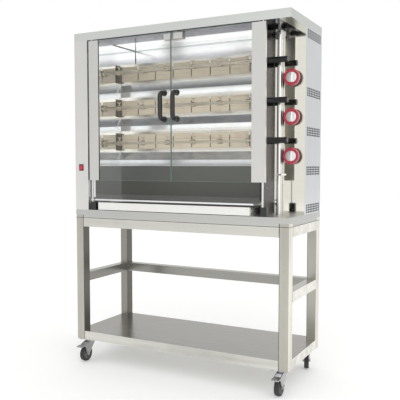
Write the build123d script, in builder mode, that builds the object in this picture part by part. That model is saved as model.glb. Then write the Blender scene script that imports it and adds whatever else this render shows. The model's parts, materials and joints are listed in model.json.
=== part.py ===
from build123d import *
import os

os.makedirs("parts", exist_ok=True)

# A gas rotisserie oven with three spits, on a wheeled stand. Millimetres.
# X runs across the front, +Y to the back, +Z up. The origin is on the floor, at the
# middle of the box round the whole machine.

# Overall sizes
width = 1200.0
depth = 458.0
stand_height = 656.0
oven_height = 968.0
caster_height = 119.0

# Stock and gaps
sheet = 1.5
running = 0.06
gap = 0.3
cut_margin = 3.0
hole_clearance = 1.0

# Stand
leg_side = 50.0
tube_wall = 2.0
leg_rise = 15.0
rail_height = 47.0
rail_width = 46.0
mid_rail_height = 357.0
shelf_lip = 45.0

# Oven body
roof_lip = 41.0
plinth_height = 43.0
left_column_width = 83.0
column_gap = 5.0
right_column_width = 180.0
niche_depth = 206.0
right_wall_setback = 131.0
burner_setback = 305.0
flange_width = 24.0
right_flange_width = 16.0
flange_setback = 24.0
floor_rear_height = 66.0
floor_fall = 16.0
seam_drop = 45.0
ceiling_rise = 14.0
flue_gap = 10.0

# Spits and burners
spit_pitch = 187.5
spit_drop = 156.0
spit_setback = 140.0
spit_side = 12.0
fork_pitch = 150.0
fork_count = 6
fork_radius = 46.0
grip_radius = 14.0
grip_length = 113.0
grip_gap = 4.0
journal_radius = 8.0
hub_radius = 13.0
plaque_rise = 54.0
plaque_height = 82.0
plaques_per_row = 8
burner_rim = 12.0

# Doors
door_thickness = 12.0
glass_thickness = 6.0
door_height = 722.0
door_head_gap = 5.0
door_split = -13.5
door_gap = 2.0
right_door_reach = 62.0
stile_width_left = 59.0
stile_width_right = 68.0
pivot_inset = 15.0
pivot_radius = 4.0
handle_reach = 52.0
handle_radius = 11.5
handle_height = 150.0
handle_offset = 35.0
handle_drop = 431.0

# Controls and services
knob_pitch = 184.5
knob_drop = 236.0
knob_radius = 39.5
knob_length = 42.0
knob_inset = 59.0
stem_radius = 4.0
inlet_reach = 52.0
inlet_radius = 10.48
manifold_radius = 12.5
manifold_inset = 59.0
pipe_gap = 4.0
pipe_opening = 124.0
switch_height = 223.0
switch_inset = 38.0
drawer_height = 38.0

# Casters
wheel_radius = 40.0
wheel_width = 25.0
caster_inset_x = 48.0
caster_inset_y = 46.0
caster_trail = 35.0
axle_radius = 4.0
pedal_reach = 94.0
# rest direction of each trailing wheel, degrees about +Z from the -Y direction
caster_turns = {"front_left": 0.0, "front_right": 0.0, "rear_left": 172.0, "rear_right": 197.8}

# Levels and planes worked out from the sizes above
z_foot = caster_height
z_rails = z_foot + stand_height
z_deck = z_rails + plinth_height
z_top = z_rails + oven_height
z_roof = z_top - roof_lip
z_ceiling = z_roof + ceiling_rise
x_left = -width / 2
x_right = width / 2
y_front = (handle_reach - depth - inlet_reach) / 2
y_rear = y_front + depth
x_column = x_left + left_column_width
x_wall_left = x_column + column_gap
x_niche = x_right - right_column_width
x_wall_right = x_niche - sheet
y_panel = y_front + niche_depth
y_wall_right = y_front + right_wall_setback
y_burner = y_front + burner_setback
y_flange = y_front + flange_setback
y_spit = y_front + spit_setback
y_flue = y_rear - flue_gap
z_floor_rear = z_deck + floor_rear_height
z_floor_front = z_floor_rear - floor_fall
spit_levels = [z_roof - spit_drop - row * spit_pitch for row in range(3)]
row_tops = [level + plaque_rise for level in spit_levels]
z_ledge = row_tops[0] + burner_rim
knob_levels = [z_roof - knob_drop - row * knob_pitch for row in range(3)]
door_top = z_roof - door_head_gap
door_bottom = door_top - door_height
y_pivot = y_front + door_thickness / 2
x_door_left = x_wall_left + column_gap
x_door_right = x_niche + right_door_reach
pivot_left = x_door_left + pivot_inset
pivot_right = x_door_right - pivot_inset


def slab(x, y, z, mode=Mode.ADD):
    """A box given by its limits along X, Y and Z, in the part being built."""
    with Locations(((x[0] + x[1]) / 2, (y[0] + y[1]) / 2, (z[0] + z[1]) / 2)):
        Box(x[1] - x[0], y[1] - y[0], z[1] - z[0], mode=mode)


def rod(start, axis, radius, length, mode=Mode.ADD):
    """A round bar that starts at a point and runs along an axis."""
    with Locations(Plane(origin=start, z_dir=axis)):
        Cylinder(radius, length, align=(Align.CENTER, Align.CENTER, Align.MIN), mode=mode)


def save(part, name):
    part.part.label = name
    export_step(part.part, f"parts/{name}.step")


# ---------------------------------------------------------------- stand
leg_centres = [
    (sx * (width - leg_side) / 2, (y_front + y_rear) / 2 + sy * (depth - leg_side) / 2)
    for sx in (-1, 1)
    for sy in (-1, 1)
]

with BuildPart() as stand_legs:
    with BuildSketch(Plane.XY.offset(z_foot)):
        with Locations(*leg_centres):
            RectangleRounded(leg_side, leg_side, 2 * tube_wall)
            Rectangle(leg_side - 2 * tube_wall, leg_side - 2 * tube_wall, mode=Mode.SUBTRACT)
    extrude(amount=stand_height + leg_rise)
save(stand_legs, "stand_legs")


def hollow_rail(x, y, z, along):
    """A square tube between two legs, open at its ends."""
    slab(x, y, z)
    trim = tube_wall
    inner_z = (z[0] + trim, z[1] - trim)
    if along == "x":
        slab(x, (y[0] + trim, y[1] - trim), inner_z, Mode.SUBTRACT)
    else:
        slab((x[0] + trim, x[1] - trim), y, inner_z, Mode.SUBTRACT)


inner_x = (x_left + leg_side, x_right - leg_side)
inner_y = (y_front + leg_side, y_rear - leg_side)
left_rail_x = (x_left, x_left + rail_width)
right_rail_x = (x_right - rail_width, x_right)
front_rail_y = (y_front, y_front + rail_width)
rear_rail_y = (y_rear - rail_width, y_rear)
top_rail_z = (z_rails - rail_height, z_rails)
mid_rail_z = (z_foot + mid_rail_height - rail_height, z_foot + mid_rail_height)

with BuildPart() as stand_rails:
    hollow_rail(inner_x, front_rail_y, top_rail_z, "x")
    for rail_z in (top_rail_z, mid_rail_z):
        hollow_rail(inner_x, rear_rail_y, rail_z, "x")
        hollow_rail(left_rail_x, inner_y, rail_z, "y")
        hollow_rail(right_rail_x, inner_y, rail_z, "y")
save(stand_rails, "stand_rails")

with BuildPart() as bottom_shelf:
    slab((x_left, x_right), (y_front, y_rear), (z_foot, z_foot + shelf_lip))
    slab(
        (x_left + sheet, x_right - sheet),
        (y_front + sheet, y_rear - sheet),
        (z_foot, z_foot + shelf_lip - sheet),
        Mode.SUBTRACT,
    )
    with BuildSketch(Plane.XY.offset(z_foot)):
        with Locations(*leg_centres):
            Rectangle(leg_side, leg_side)
    extrude(amount=shelf_lip, mode=Mode.SUBTRACT)
save(bottom_shelf, "bottom_shelf")

# ---------------------------------------------------------------- casters
plate_thickness = 3.0
race_radius = 20.0
race_drop = 11.0
king_radius = 6.0
fork_top_thickness = 7.0
king_nut_drop = 7.0
cheek_thickness = 3.0
cheek_gap = 1.5
plate_margin = 4.0
plate_corner = 6.0
plate_bolt_spread = (68.0, 64.0)
plate_bolt_radius = 4.2
king_nut_radius = 10.0
fork_cap_margin = 3.0
cheek_rear = 20.0
cheek_front = 22.0
cheek_skirt = 5.0
pin_land_ahead = 4.0
pin_land_above = 5.0
pin_land_below = 6.0
axle_land = 9.0
axle_proud = 4.0
z_plate = z_foot - plate_thickness
z_race = z_plate - race_drop
z_fork_top = z_race - gap
z_fork_under = z_fork_top - fork_top_thickness
caster_x = width / 2 - caster_inset_x
caster_y_front = y_front + caster_inset_y
caster_y_rear = y_rear - caster_inset_y
caster_places = {
    "front_left": (-caster_x, caster_y_front),
    "front_right": (caster_x, caster_y_front),
    "rear_left": (-caster_x, caster_y_rear),
    "rear_right": (caster_x, caster_y_rear),
}

with BuildPart() as caster_plates:
    for place in caster_places.values():
        with BuildSketch(Plane.XY.offset(z_plate)):
            with Locations(place):
                plate_x = 2 * caster_inset_x - plate_margin
                plate_y = 2 * caster_inset_y - plate_margin
                RectangleRounded(plate_x, plate_y, plate_corner)
                with GridLocations(*plate_bolt_spread, 2, 2):
                    Circle(plate_bolt_radius, mode=Mode.SUBTRACT)
        extrude(amount=plate_thickness)
        rod((*place, z_race), (0, 0, 1), race_radius, race_drop)
        pin_foot = z_fork_under - king_nut_drop
        rod((*place, pin_foot), (0, 0, 1), king_radius, z_race - pin_foot)
        with BuildSketch(Plane((*place, pin_foot - gap))):
            RegularPolygon(king_nut_radius, 6)
        extrude(amount=king_nut_drop)
save(caster_plates, "caster_plates")

cheek_inner = wheel_width / 2 + cheek_gap
pedal_pivot = (56.0, 87.0)
pedal_pin_radius = 3.0
pedal_eye = 6.0
pedal_root_drop = 1.0
pedal_tip_rise = 1.0
pedal_tip_drop = 3.0
tread_start = 12.0
tread_overhang = 5.0


def caster_plane(place, turn):
    """Upright plane through a king pin: local X trails the wheel, local Y is up."""
    trail = Vector(0, -1, 0).rotate(Axis.Z, turn)
    return Plane(origin=(*place, 0), x_dir=trail, z_dir=trail.cross(Vector(0, 0, 1)))


for corner, place in caster_places.items():
    plane = caster_plane(place, caster_turns[corner])
    braked = corner.startswith("front")
    with BuildPart() as fork:
        with BuildSketch(Plane((*place, z_fork_under))):
            Circle(race_radius + fork_cap_margin)
        extrude(amount=fork_top_thickness)
        for side in (-1, 1):
            start = cheek_inner if side > 0 else -cheek_inner - cheek_thickness
            with BuildSketch(plane.offset(start)):
                with BuildLine():
                    Polyline(
                        (-cheek_rear, z_fork_top),
                        (cheek_front, z_fork_top),
                        (pedal_pivot[0] + pin_land_ahead, pedal_pivot[1] + pin_land_above),
                        (pedal_pivot[0] + pin_land_ahead, pedal_pivot[1] - pin_land_below),
                        (caster_trail + axle_land, wheel_radius),
                        (caster_trail - axle_land, wheel_radius),
                        (-cheek_rear, z_fork_under - cheek_skirt),
                        close=True,
                    )
                make_face()
                with Locations((caster_trail, wheel_radius)):
                    Circle(axle_land)
            extrude(amount=cheek_thickness)
        axle_half = cheek_inner + cheek_thickness + axle_proud
        with BuildSketch(plane.offset(-axle_half)):
            with Locations((caster_trail, wheel_radius)):
                Circle(axle_radius)
        extrude(amount=2 * axle_half)
        if braked:
            with BuildSketch(plane.offset(-cheek_inner - cheek_thickness)):
                with Locations(pedal_pivot):
                    Circle(pedal_pin_radius)
            extrude(amount=2 * (cheek_inner + cheek_thickness))
        bore_foot = (*place, z_fork_under - cut_margin)
        bore_length = fork_top_thickness + 2 * cut_margin
        rod(bore_foot, (0, 0, 1), king_radius + running, bore_length, Mode.SUBTRACT)
    save(fork, f"caster_{corner}_fork")

    with BuildPart() as wheel:
        hub = plane.from_local_coords((caster_trail, wheel_radius, 0))
        with BuildSketch(Plane(origin=hub, x_dir=plane.z_dir, z_dir=plane.x_dir)):
            with Locations((0, wheel_radius / 2)):
                Rectangle(wheel_width, wheel_radius)
            with Locations((0, axle_radius / 2)):
                Rectangle(wheel_width + 1, axle_radius + 2 * running, mode=Mode.SUBTRACT)
        revolve(axis=Axis(hub, plane.z_dir))
    save(wheel, f"caster_{corner}_wheel")

    if braked:
        with BuildPart() as pedal:
            with BuildSketch(plane.offset(-cheek_inner + gap)):
                with Locations(pedal_pivot):
                    Circle(pedal_eye)
                with BuildLine():
                    Polyline(
                        (pedal_pivot[0], pedal_pivot[1] + pedal_eye),
                        (pedal_reach, pedal_pivot[1] + pedal_tip_rise),
                        (pedal_reach, pedal_pivot[1] - pedal_tip_drop),
                        (pedal_pivot[0], pedal_pivot[1] - pedal_root_drop),
                        close=True,
                    )
                make_face()
                with Locations(pedal_pivot):
                    Circle(pedal_pin_radius + running, mode=Mode.SUBTRACT)
            extrude(amount=2 * (cheek_inner - gap))
            along = tread_start / (pedal_reach - pedal_pivot[0])
            tread_rise = pedal_eye + (pedal_tip_rise - pedal_eye) * along
            tread_drop = pedal_root_drop + (pedal_tip_drop - pedal_root_drop) * along
            with BuildSketch(plane.offset(-cheek_inner - tread_overhang)):
                with BuildLine():
                    Polyline(
                        (pedal_pivot[0] + tread_start, pedal_pivot[1] + tread_rise),
                        (pedal_reach, pedal_pivot[1] + pedal_tip_rise),
                        (pedal_reach, pedal_pivot[1] - pedal_tip_drop),
                        (pedal_pivot[0] + tread_start, pedal_pivot[1] - tread_drop),
                        close=True,
                    )
                make_face()
            extrude(amount=2 * (cheek_inner + tread_overhang))
        save(pedal, f"caster_{corner}_pedal")

# ---------------------------------------------------------------- oven shell
with BuildPart() as base_plinth:
    slab((x_left, x_right), (y_front, y_rear), (z_rails, z_deck))
    slab(
        (x_left + sheet, x_right - sheet),
        (y_front + sheet, y_rear - sheet),
        (z_rails + sheet, z_deck - sheet),
        Mode.SUBTRACT,
    )
    with BuildSketch(Plane.XY.offset(z_rails)):
        with Locations(*leg_centres):
            Rectangle(leg_side + 2 * sheet, leg_side + 2 * sheet)
        Rectangle(width, depth, mode=Mode.INTERSECT)
    extrude(amount=leg_rise + sheet)
    with BuildSketch(Plane.XY.offset(z_rails)):
        with Locations(*leg_centres):
            Rectangle(leg_side, leg_side)
    extrude(amount=leg_rise, mode=Mode.SUBTRACT)
save(base_plinth, "base_plinth")

with BuildPart() as roof_cover:
    slab((x_left, x_right), (y_front, y_rear), (z_roof, z_top))
    fillet(roof_cover.edges().group_by(Axis.Z)[-1], radius=sheet)
    slab(
        (x_left + sheet, x_right - sheet),
        (y_front + sheet, y_rear - sheet),
        (z_roof, z_top - sheet),
        Mode.SUBTRACT,
    )
    slab((x_niche + pipe_opening, x_right - sheet), (y_front + sheet, y_panel), (z_roof, z_roof + sheet))
save(roof_cover, "roof_cover")

switch_x = x_left + switch_inset
switch_z = z_deck + switch_height
switch_width = 28.0
switch_tall = 34.0
switch_rim = 2.0
switch_frame = 4.0
switch_hole = (switch_width - 2 * switch_rim, switch_tall - 2 * switch_rim)
switch_opening = (switch_width - 2 * switch_frame, switch_tall - 2 * switch_frame)

with BuildPart() as left_column_cover:
    with BuildSketch(Plane.XY.offset(z_deck)):
        with BuildLine():
            Polyline(
                (x_left + sheet, y_rear - sheet),
                (x_left, y_rear - sheet),
                (x_left, y_front),
                (x_column, y_front),
                (x_column, y_rear - sheet),
                (x_column - sheet, y_rear - sheet),
                (x_column - sheet, y_front + sheet),
                (x_left + sheet, y_front + sheet),
                close=True,
            )
        make_face()
    extrude(amount=z_roof - z_deck)
    with BuildSketch(Plane.XZ.offset(-y_front)):
        with Locations((switch_x, switch_z)):
            Rectangle(*switch_hole)
    extrude(amount=-2 * sheet, mode=Mode.SUBTRACT)
    for level in spit_levels:
        hub_hole = hub_radius + hole_clearance
        rod((x_column - cut_margin, y_spit, level), (1, 0, 0), hub_hole, 2 * cut_margin, Mode.SUBTRACT)
save(left_column_cover, "left_column_cover")

with BuildPart() as left_inner_wall:
    wall_x = (x_wall_left - sheet, x_wall_left)
    slab(wall_x, (y_flange, y_burner), (z_deck, z_ceiling))
    slab(wall_x, (y_burner, y_flue), (z_ledge, z_ceiling))
    flange_x = (x_wall_left, x_wall_left + flange_width)
    slab(flange_x, (y_flange, y_flange + sheet), (z_floor_rear, z_ceiling))
    for level in spit_levels:
        rod((x_wall_left - cut_margin, y_spit, level), (1, 0, 0), hub_hole, 2 * cut_margin, Mode.SUBTRACT)
save(left_inner_wall, "left_inner_wall")

with BuildPart() as right_inner_wall:
    slab((x_wall_right, x_niche), (y_wall_right, y_burner), (z_deck, z_ceiling))
    slab((x_wall_right, x_niche), (y_burner, y_flue), (z_ledge, z_ceiling))
    flange_x = (x_wall_right - right_flange_width, x_wall_right)
    slab(flange_x, (y_wall_right, y_wall_right + sheet), (z_floor_rear, z_ceiling))
    for level in spit_levels:
        slot = journal_radius + gap
        slot_x = (x_wall_right - right_flange_width - cut_margin, x_niche + cut_margin)
        slot_y = (y_wall_right - cut_margin, y_spit)
        slab(slot_x, slot_y, (level - slot, level + slot), Mode.SUBTRACT)
        rod((slot_x[0], y_spit, level), (1, 0, 0), slot, slot_x[1] - slot_x[0], Mode.SUBTRACT)
save(right_inner_wall, "right_inner_wall")

knob_x = x_right - knob_inset
manifold_x = x_niche + manifold_inset
manifold_y = y_panel - manifold_radius - pipe_gap
branch_radius = 6.0
panel_cut = (y_panel - cut_margin, 2 * cut_margin)

with BuildPart() as control_panel:
    slab((x_niche, x_right), (y_panel, y_panel + sheet), (z_deck, z_roof - seam_drop - sheet))
    slab((x_niche, x_right), (y_panel, y_panel + sheet), (z_roof - seam_drop, z_roof))
    for level in knob_levels:
        for hole_x, hole_radius in ((knob_x, stem_radius), (manifold_x, branch_radius)):
            hole_start = (hole_x, panel_cut[0], level)
            rod(hole_start, (0, 1, 0), hole_radius + hole_clearance, panel_cut[1], Mode.SUBTRACT)
save(control_panel, "control_panel")

vent_margin_front = 24.0
vent_margin_rear = 16.0
vent_columns = 8
vent_rows = 4
vent_row_pitch = 11.0
vent_slot_height = 8.2
vent_slot_share = 0.78
vent_drop = 144.0
vent_end_margin = 26.0
vent_y0 = y_panel + vent_margin_front
vent_y1 = y_rear - vent_margin_rear
vent_pitch = (vent_y1 - vent_y0) / vent_columns
vent_levels = [z_roof - vent_end_margin, z_deck + vent_end_margin]
vent_levels += [level - vent_drop for level in spit_levels]

with BuildPart() as right_side_panel:
    side_y0 = y_panel + sheet
    slab((x_right - sheet, x_right), (side_y0, y_rear - sheet), (z_deck, z_roof))
    with BuildSketch(Plane.YZ.offset(x_right)):
        for group_z in vent_levels:
            with Locations(((vent_y0 + vent_y1) / 2, group_z)):
                with GridLocations(vent_pitch, vent_row_pitch, vent_columns, vent_rows):
                    SlotOverall(vent_pitch * vent_slot_share, vent_slot_height)
    extrude(amount=-3 * sheet, mode=Mode.SUBTRACT)
save(right_side_panel, "right_side_panel")

inlet_inset = 80.0
inlet_rise = 60.0
inlet_run = 60.0
inlet_wall = 3.0
inlet_nut_radius = 17.0
inlet_nut_length = 9.0
inlet_x = x_right - inlet_inset
inlet_z = z_deck + inlet_rise

with BuildPart() as rear_cover:
    slab((x_left, x_right), (y_rear - sheet, y_rear), (z_deck, z_roof))
    inlet_hole = inlet_radius + hole_clearance
    rod((inlet_x, y_rear - cut_margin, inlet_z), (0, 1, 0), inlet_hole, 2 * cut_margin, Mode.SUBTRACT)
save(rear_cover, "rear_cover")

# ---------------------------------------------------------------- chamber
chamber_x = (x_wall_left, x_wall_right)
reflector_gap = 1.5
reflector_upper = 48.0
reflector_reach = 34.0
reflector_lows = [top - spit_pitch + burner_rim + reflector_gap for top in row_tops]
lower_panel_lead = 10.0

# One folded sheet: the wall behind the burners, the ledge over them and the rear of the flue.
with BuildPart() as chamber_back_wall:
    with BuildSketch(Plane.YZ.offset(x_wall_left)):
        with BuildLine():
            Polyline(
                (y_burner - sheet, z_deck),
                (y_burner, z_deck),
                (y_burner, z_ledge - sheet),
                (y_flue + sheet, z_ledge - sheet),
                (y_flue + sheet, z_ceiling),
                (y_flue, z_ceiling),
                (y_flue, z_ledge),
                (y_burner - sheet, z_ledge),
                close=True,
            )
        make_face()
    extrude(amount=x_wall_right - x_wall_left)
save(chamber_back_wall, "chamber_back_wall")

with BuildPart() as lower_back_panel:
    panel_y = (y_burner - lower_panel_lead, y_burner - lower_panel_lead + sheet)
    slab(chamber_x, panel_y, (z_floor_rear + sheet, reflector_lows[-1] - reflector_gap))
save(lower_back_panel, "lower_back_panel")

block_setback = 1.0
block_width = 30.0
block_lead = 8.0
block_depth = 22.0
block_height = 43.0
bore_depth = 30.0
upper_bore_depth = 24.0
pin_foot_gap = 4.0
pin_head_gap = 6.0
block_y = (y_front + block_setback, y_front + block_setback + block_depth)

with BuildPart() as chamber_ceiling:
    ceiling_x = (x_wall_left - sheet, x_right - sheet - gap)
    slab(ceiling_x, (block_y[1] + gap, y_flue + sheet), (z_ceiling, z_ceiling + sheet))
save(chamber_ceiling, "chamber_ceiling")

floor_setback = 14.0
floor_lip = 8.0
drain_setback = 24.0
drain_width = 16.0
drain_end_margin = 80.0
y_floor_front = y_front + floor_setback
drain_y = y_floor_front + drain_setback
with BuildPart() as chamber_floor:
    with BuildSketch(Plane.YZ.offset(x_wall_left)):
        with BuildLine():
            Polyline(
                (y_floor_front, z_floor_front),
                (y_burner - sheet, z_floor_rear),
                (y_burner - sheet, z_floor_rear + sheet),
                (y_floor_front + sheet, z_floor_front + sheet),
                (y_floor_front + sheet, z_floor_front + floor_lip),
                (y_floor_front, z_floor_front + floor_lip),
                close=True,
            )
        make_face()
    extrude(amount=x_wall_right - x_wall_left)
    with BuildSketch(Plane.XY.offset(z_floor_front - cut_margin)):
        with Locations(((x_wall_left + x_wall_right) / 2, drain_y)):
            SlotOverall(x_wall_right - x_wall_left - 2 * drain_end_margin, drain_width)
    extrude(amount=floor_fall + 2 * cut_margin, mode=Mode.SUBTRACT)
save(chamber_floor, "chamber_floor")

housing_depth = 18.0
housing_lip = 8.0
housing_end_left = 3.0
housing_end_right = 15.5
plaque_gap = 2.0
plaque_depth = 11.0
plaque_recess = 2.0
fold_inset = 6.0
reflector_sheet = 2.0
y_housing = y_burner - sheet - housing_depth
burner_x = (x_wall_left + housing_end_left, x_wall_right - housing_end_right)
plaque_span = (burner_x[1] - burner_x[0] - 2 * housing_lip) / plaques_per_row

with BuildPart() as burner_housings:
    for top in row_tops:
        slab(
            burner_x,
            (y_housing, y_housing + housing_depth),
            (top - plaque_height - burner_rim, top + burner_rim),
        )
        slab(
            (burner_x[0] + housing_lip, burner_x[1] - housing_lip),
            (y_housing, y_housing + plaque_recess + plaque_depth),
            (top - plaque_height, top),
            Mode.SUBTRACT,
        )
save(burner_housings, "burner_housings")

with BuildPart() as burner_plaques:
    plaque_y = (y_housing + plaque_recess, y_housing + plaque_recess + plaque_depth)
    for top in row_tops:
        for index in range(plaques_per_row):
            x0 = burner_x[0] + housing_lip + index * plaque_span + plaque_gap / 2
            slab((x0, x0 + plaque_span - plaque_gap), plaque_y, (top - plaque_height, top))
save(burner_plaques, "burner_plaques")

with BuildPart() as burner_reflectors:
    with BuildSketch(Plane.YZ.offset(burner_x[0])):
        for top, low in zip(row_tops, reflector_lows):
            high = top - plaque_height - burner_rim - reflector_gap
            fold_y = y_housing + fold_inset
            apex_y = fold_y - reflector_reach
            with BuildLine():
                Polyline(
                    (fold_y, high),
                    (apex_y, high - reflector_upper),
                    (fold_y, low),
                    (fold_y + reflector_sheet, low),
                    (apex_y + reflector_sheet, high - reflector_upper),
                    (fold_y + reflector_sheet, high),
                    close=True,
                )
            make_face()
    extrude(amount=burner_x[1] - burner_x[0])
save(burner_reflectors, "burner_reflectors")

# ---------------------------------------------------------------- gas train
valve_depth = 42.0
valve_gap = 4.0
valve_front = y_panel + sheet + valve_gap

union_drop = 12.0
union_height = 20.0
bracket_rise = 186.0
bracket_height = 8.0
bracket_half = 17.0
branch_depth = 12.0

with BuildPart() as gas_manifold:
    rod((manifold_x, manifold_y, z_deck), (0, 0, 1), manifold_radius, z_ceiling - z_deck)
    with BuildSketch(Plane((manifold_x, manifold_y, z_roof - union_drop))):
        RegularPolygon(manifold_radius + pipe_gap - gap, 6)
    extrude(amount=-union_height)
    slab(
        (manifold_x - bracket_half, manifold_x + bracket_half),
        (manifold_y - manifold_radius - pipe_gap, y_panel),
        (z_deck + bracket_rise, z_deck + bracket_rise + bracket_height),
    )
    for level in knob_levels:
        branch_length = valve_front + branch_depth - manifold_y
        rod((manifold_x, manifold_y, level), (0, 1, 0), branch_radius, branch_length)
save(gas_manifold, "gas_manifold")

feed_radius = 5.0
valve_half = 15.0
stem_depth = 24.0
with BuildPart() as gas_valves:
    valve_x = (manifold_x - valve_half, knob_x + valve_half)
    valve_y = (valve_front, valve_front + valve_depth)
    feed_y = valve_front + valve_depth / 2 + feed_radius
    for level in knob_levels:
        slab(valve_x, valve_y, (level - valve_half, level + valve_half))
        stem_bore = stem_radius + running
        rod((knob_x, valve_front, level), (0, 1, 0), stem_bore, stem_depth + gap, Mode.SUBTRACT)
        branch_bore = branch_radius + running
        rod((manifold_x, valve_front, level), (0, 1, 0), branch_bore, branch_depth, Mode.SUBTRACT)
        rod((x_niche, feed_y, level), (1, 0, 0), feed_radius, valve_x[0] - x_niche)
save(gas_valves, "gas_valves")

with BuildPart() as gas_inlet:
    inlet_length = inlet_run + inlet_reach
    rod((inlet_x, y_rear - inlet_run, inlet_z), (0, 1, 0), inlet_radius, inlet_length)
    with BuildSketch(Plane((inlet_x, y_rear, inlet_z), z_dir=(0, 1, 0))):
        RegularPolygon(inlet_nut_radius, 6)
    extrude(amount=inlet_nut_length)
    inlet_bore = inlet_radius - inlet_wall
    bore_start = (inlet_x, y_rear - inlet_run - cut_margin, inlet_z)
    rod(bore_start, (0, 1, 0), inlet_bore, inlet_length + 2 * cut_margin, Mode.SUBTRACT)
save(gas_inlet, "gas_inlet")

# ---------------------------------------------------------------- knobs
knob_gap = 2.0
skirt_radii = (knob_radius - 6.0, knob_radius - 2.0)
ring_thickness = 10.0
cap_radius = 23.0
cap_thickness = 4.0
finger_bar = (9.0, 42.0)
finger_bar_rise = 4.0
cap_base = knob_length - finger_bar_rise - cap_thickness
ring_base = cap_base - ring_thickness

for number, level in enumerate(knob_levels, start=1):
    knob_plane = Plane((knob_x, y_panel, level), x_dir=(1, 0, 0), z_dir=(0, -1, 0))
    with BuildPart() as knob:
        with BuildSketch(knob_plane.offset(knob_gap)):
            Circle(skirt_radii[0])
        with BuildSketch(knob_plane.offset(ring_base)):
            Circle(skirt_radii[1])
        loft()
        with BuildSketch(knob_plane.offset(ring_base)):
            Circle(knob_radius)
        extrude(amount=ring_thickness)
        with BuildSketch(knob_plane.offset(cap_base)):
            Circle(cap_radius)
        extrude(amount=cap_thickness)
        with BuildSketch(knob_plane.offset(cap_base + cap_thickness)):
            Rectangle(*finger_bar)
        extrude(amount=finger_bar_rise)
        with BuildSketch(knob_plane.offset(knob_gap)):
            Circle(stem_radius)
        extrude(amount=-(knob_gap + valve_front - y_panel + stem_depth))
    save(knob, f"knob_{number}")

# ---------------------------------------------------------------- rocker switch
rocker_pin = 2.0
rocker_pin_setback = 5.0
rocker_slack = 1.8
rocker_face = (1.0, 3.0, 5.0)
rocker_shoulders = (3.0, 2.0)
rocker_tail = 9.0
rocker_tail_half = 4.0
bezel_thickness = 2.0
switch_depth = 22.0
backing_thickness = 4.0
rocker_y = y_front + rocker_pin_setback
with BuildPart() as switch_housing:
    with BuildSketch(Plane.XZ.offset(-y_front)):
        with Locations((switch_x, switch_z)):
            RectangleRounded(switch_width, switch_tall, switch_rim)
            Rectangle(*switch_opening, mode=Mode.SUBTRACT)
    extrude(amount=bezel_thickness)
    with BuildSketch(Plane.XZ.offset(-y_front)):
        with Locations((switch_x, switch_z)):
            Rectangle(*switch_hole)
            Rectangle(*switch_opening, mode=Mode.SUBTRACT)
    extrude(amount=-switch_depth)
    slab(
        (switch_x - switch_hole[0] / 2, switch_x + switch_hole[0] / 2),
        (y_front + switch_depth - backing_thickness / 2, y_front + switch_depth + backing_thickness / 2),
        (switch_z - switch_hole[1] / 2, switch_z + switch_hole[1] / 2),
    )
    pin_half = (switch_opening[0] + switch_rim) / 2
    rod((switch_x - pin_half, rocker_y, switch_z), (1, 0, 0), rocker_pin, 2 * pin_half)
save(switch_housing, "switch_housing")

with BuildPart() as switch_rocker:
    with BuildSketch(Plane.YZ.offset(switch_x - switch_opening[0] / 2 + gap)):
        with BuildLine():
            top_half = switch_opening[1] / 2 - rocker_slack
            Polyline(
                (y_front - rocker_face[0], switch_z + top_half),
                (y_front - rocker_face[1], switch_z),
                (y_front - rocker_face[2], switch_z - top_half),
                (y_front + rocker_shoulders[1], switch_z - top_half),
                (y_front + rocker_tail, switch_z - rocker_tail_half),
                (y_front + rocker_tail, switch_z + rocker_tail_half),
                (y_front + rocker_shoulders[0], switch_z + top_half),
                close=True,
            )
        make_face()
        with Locations((rocker_y, switch_z)):
            Circle(rocker_pin + running, mode=Mode.SUBTRACT)
    extrude(amount=switch_opening[0] - 2 * gap)
save(switch_rocker, "switch_rocker")

# ---------------------------------------------------------------- doors
pivot_bore = pivot_radius + running
handle_bend = 22.0
handle_hole = 4.5
handle_bolt = 4.2
handle_nut_radius = 9.0
handle_nut_length = 3.0
with BuildPart() as door_pivot_blocks:
    for x in (pivot_left, pivot_right):
        block_x = (x - block_lead, x - block_lead + block_width)
        slab(block_x, block_y, (z_deck, z_deck + block_height))
        rod((x, y_pivot, z_deck + block_height), (0, 0, -1), pivot_bore, bore_depth, Mode.SUBTRACT)
        slab(block_x, (y_front + sheet, block_y[1]), (z_roof + sheet, z_top - sheet))
        rod((x, y_pivot, z_roof), (0, 0, 1), pivot_bore, upper_bore_depth, Mode.SUBTRACT)
save(door_pivot_blocks, "door_pivot_blocks")

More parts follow.
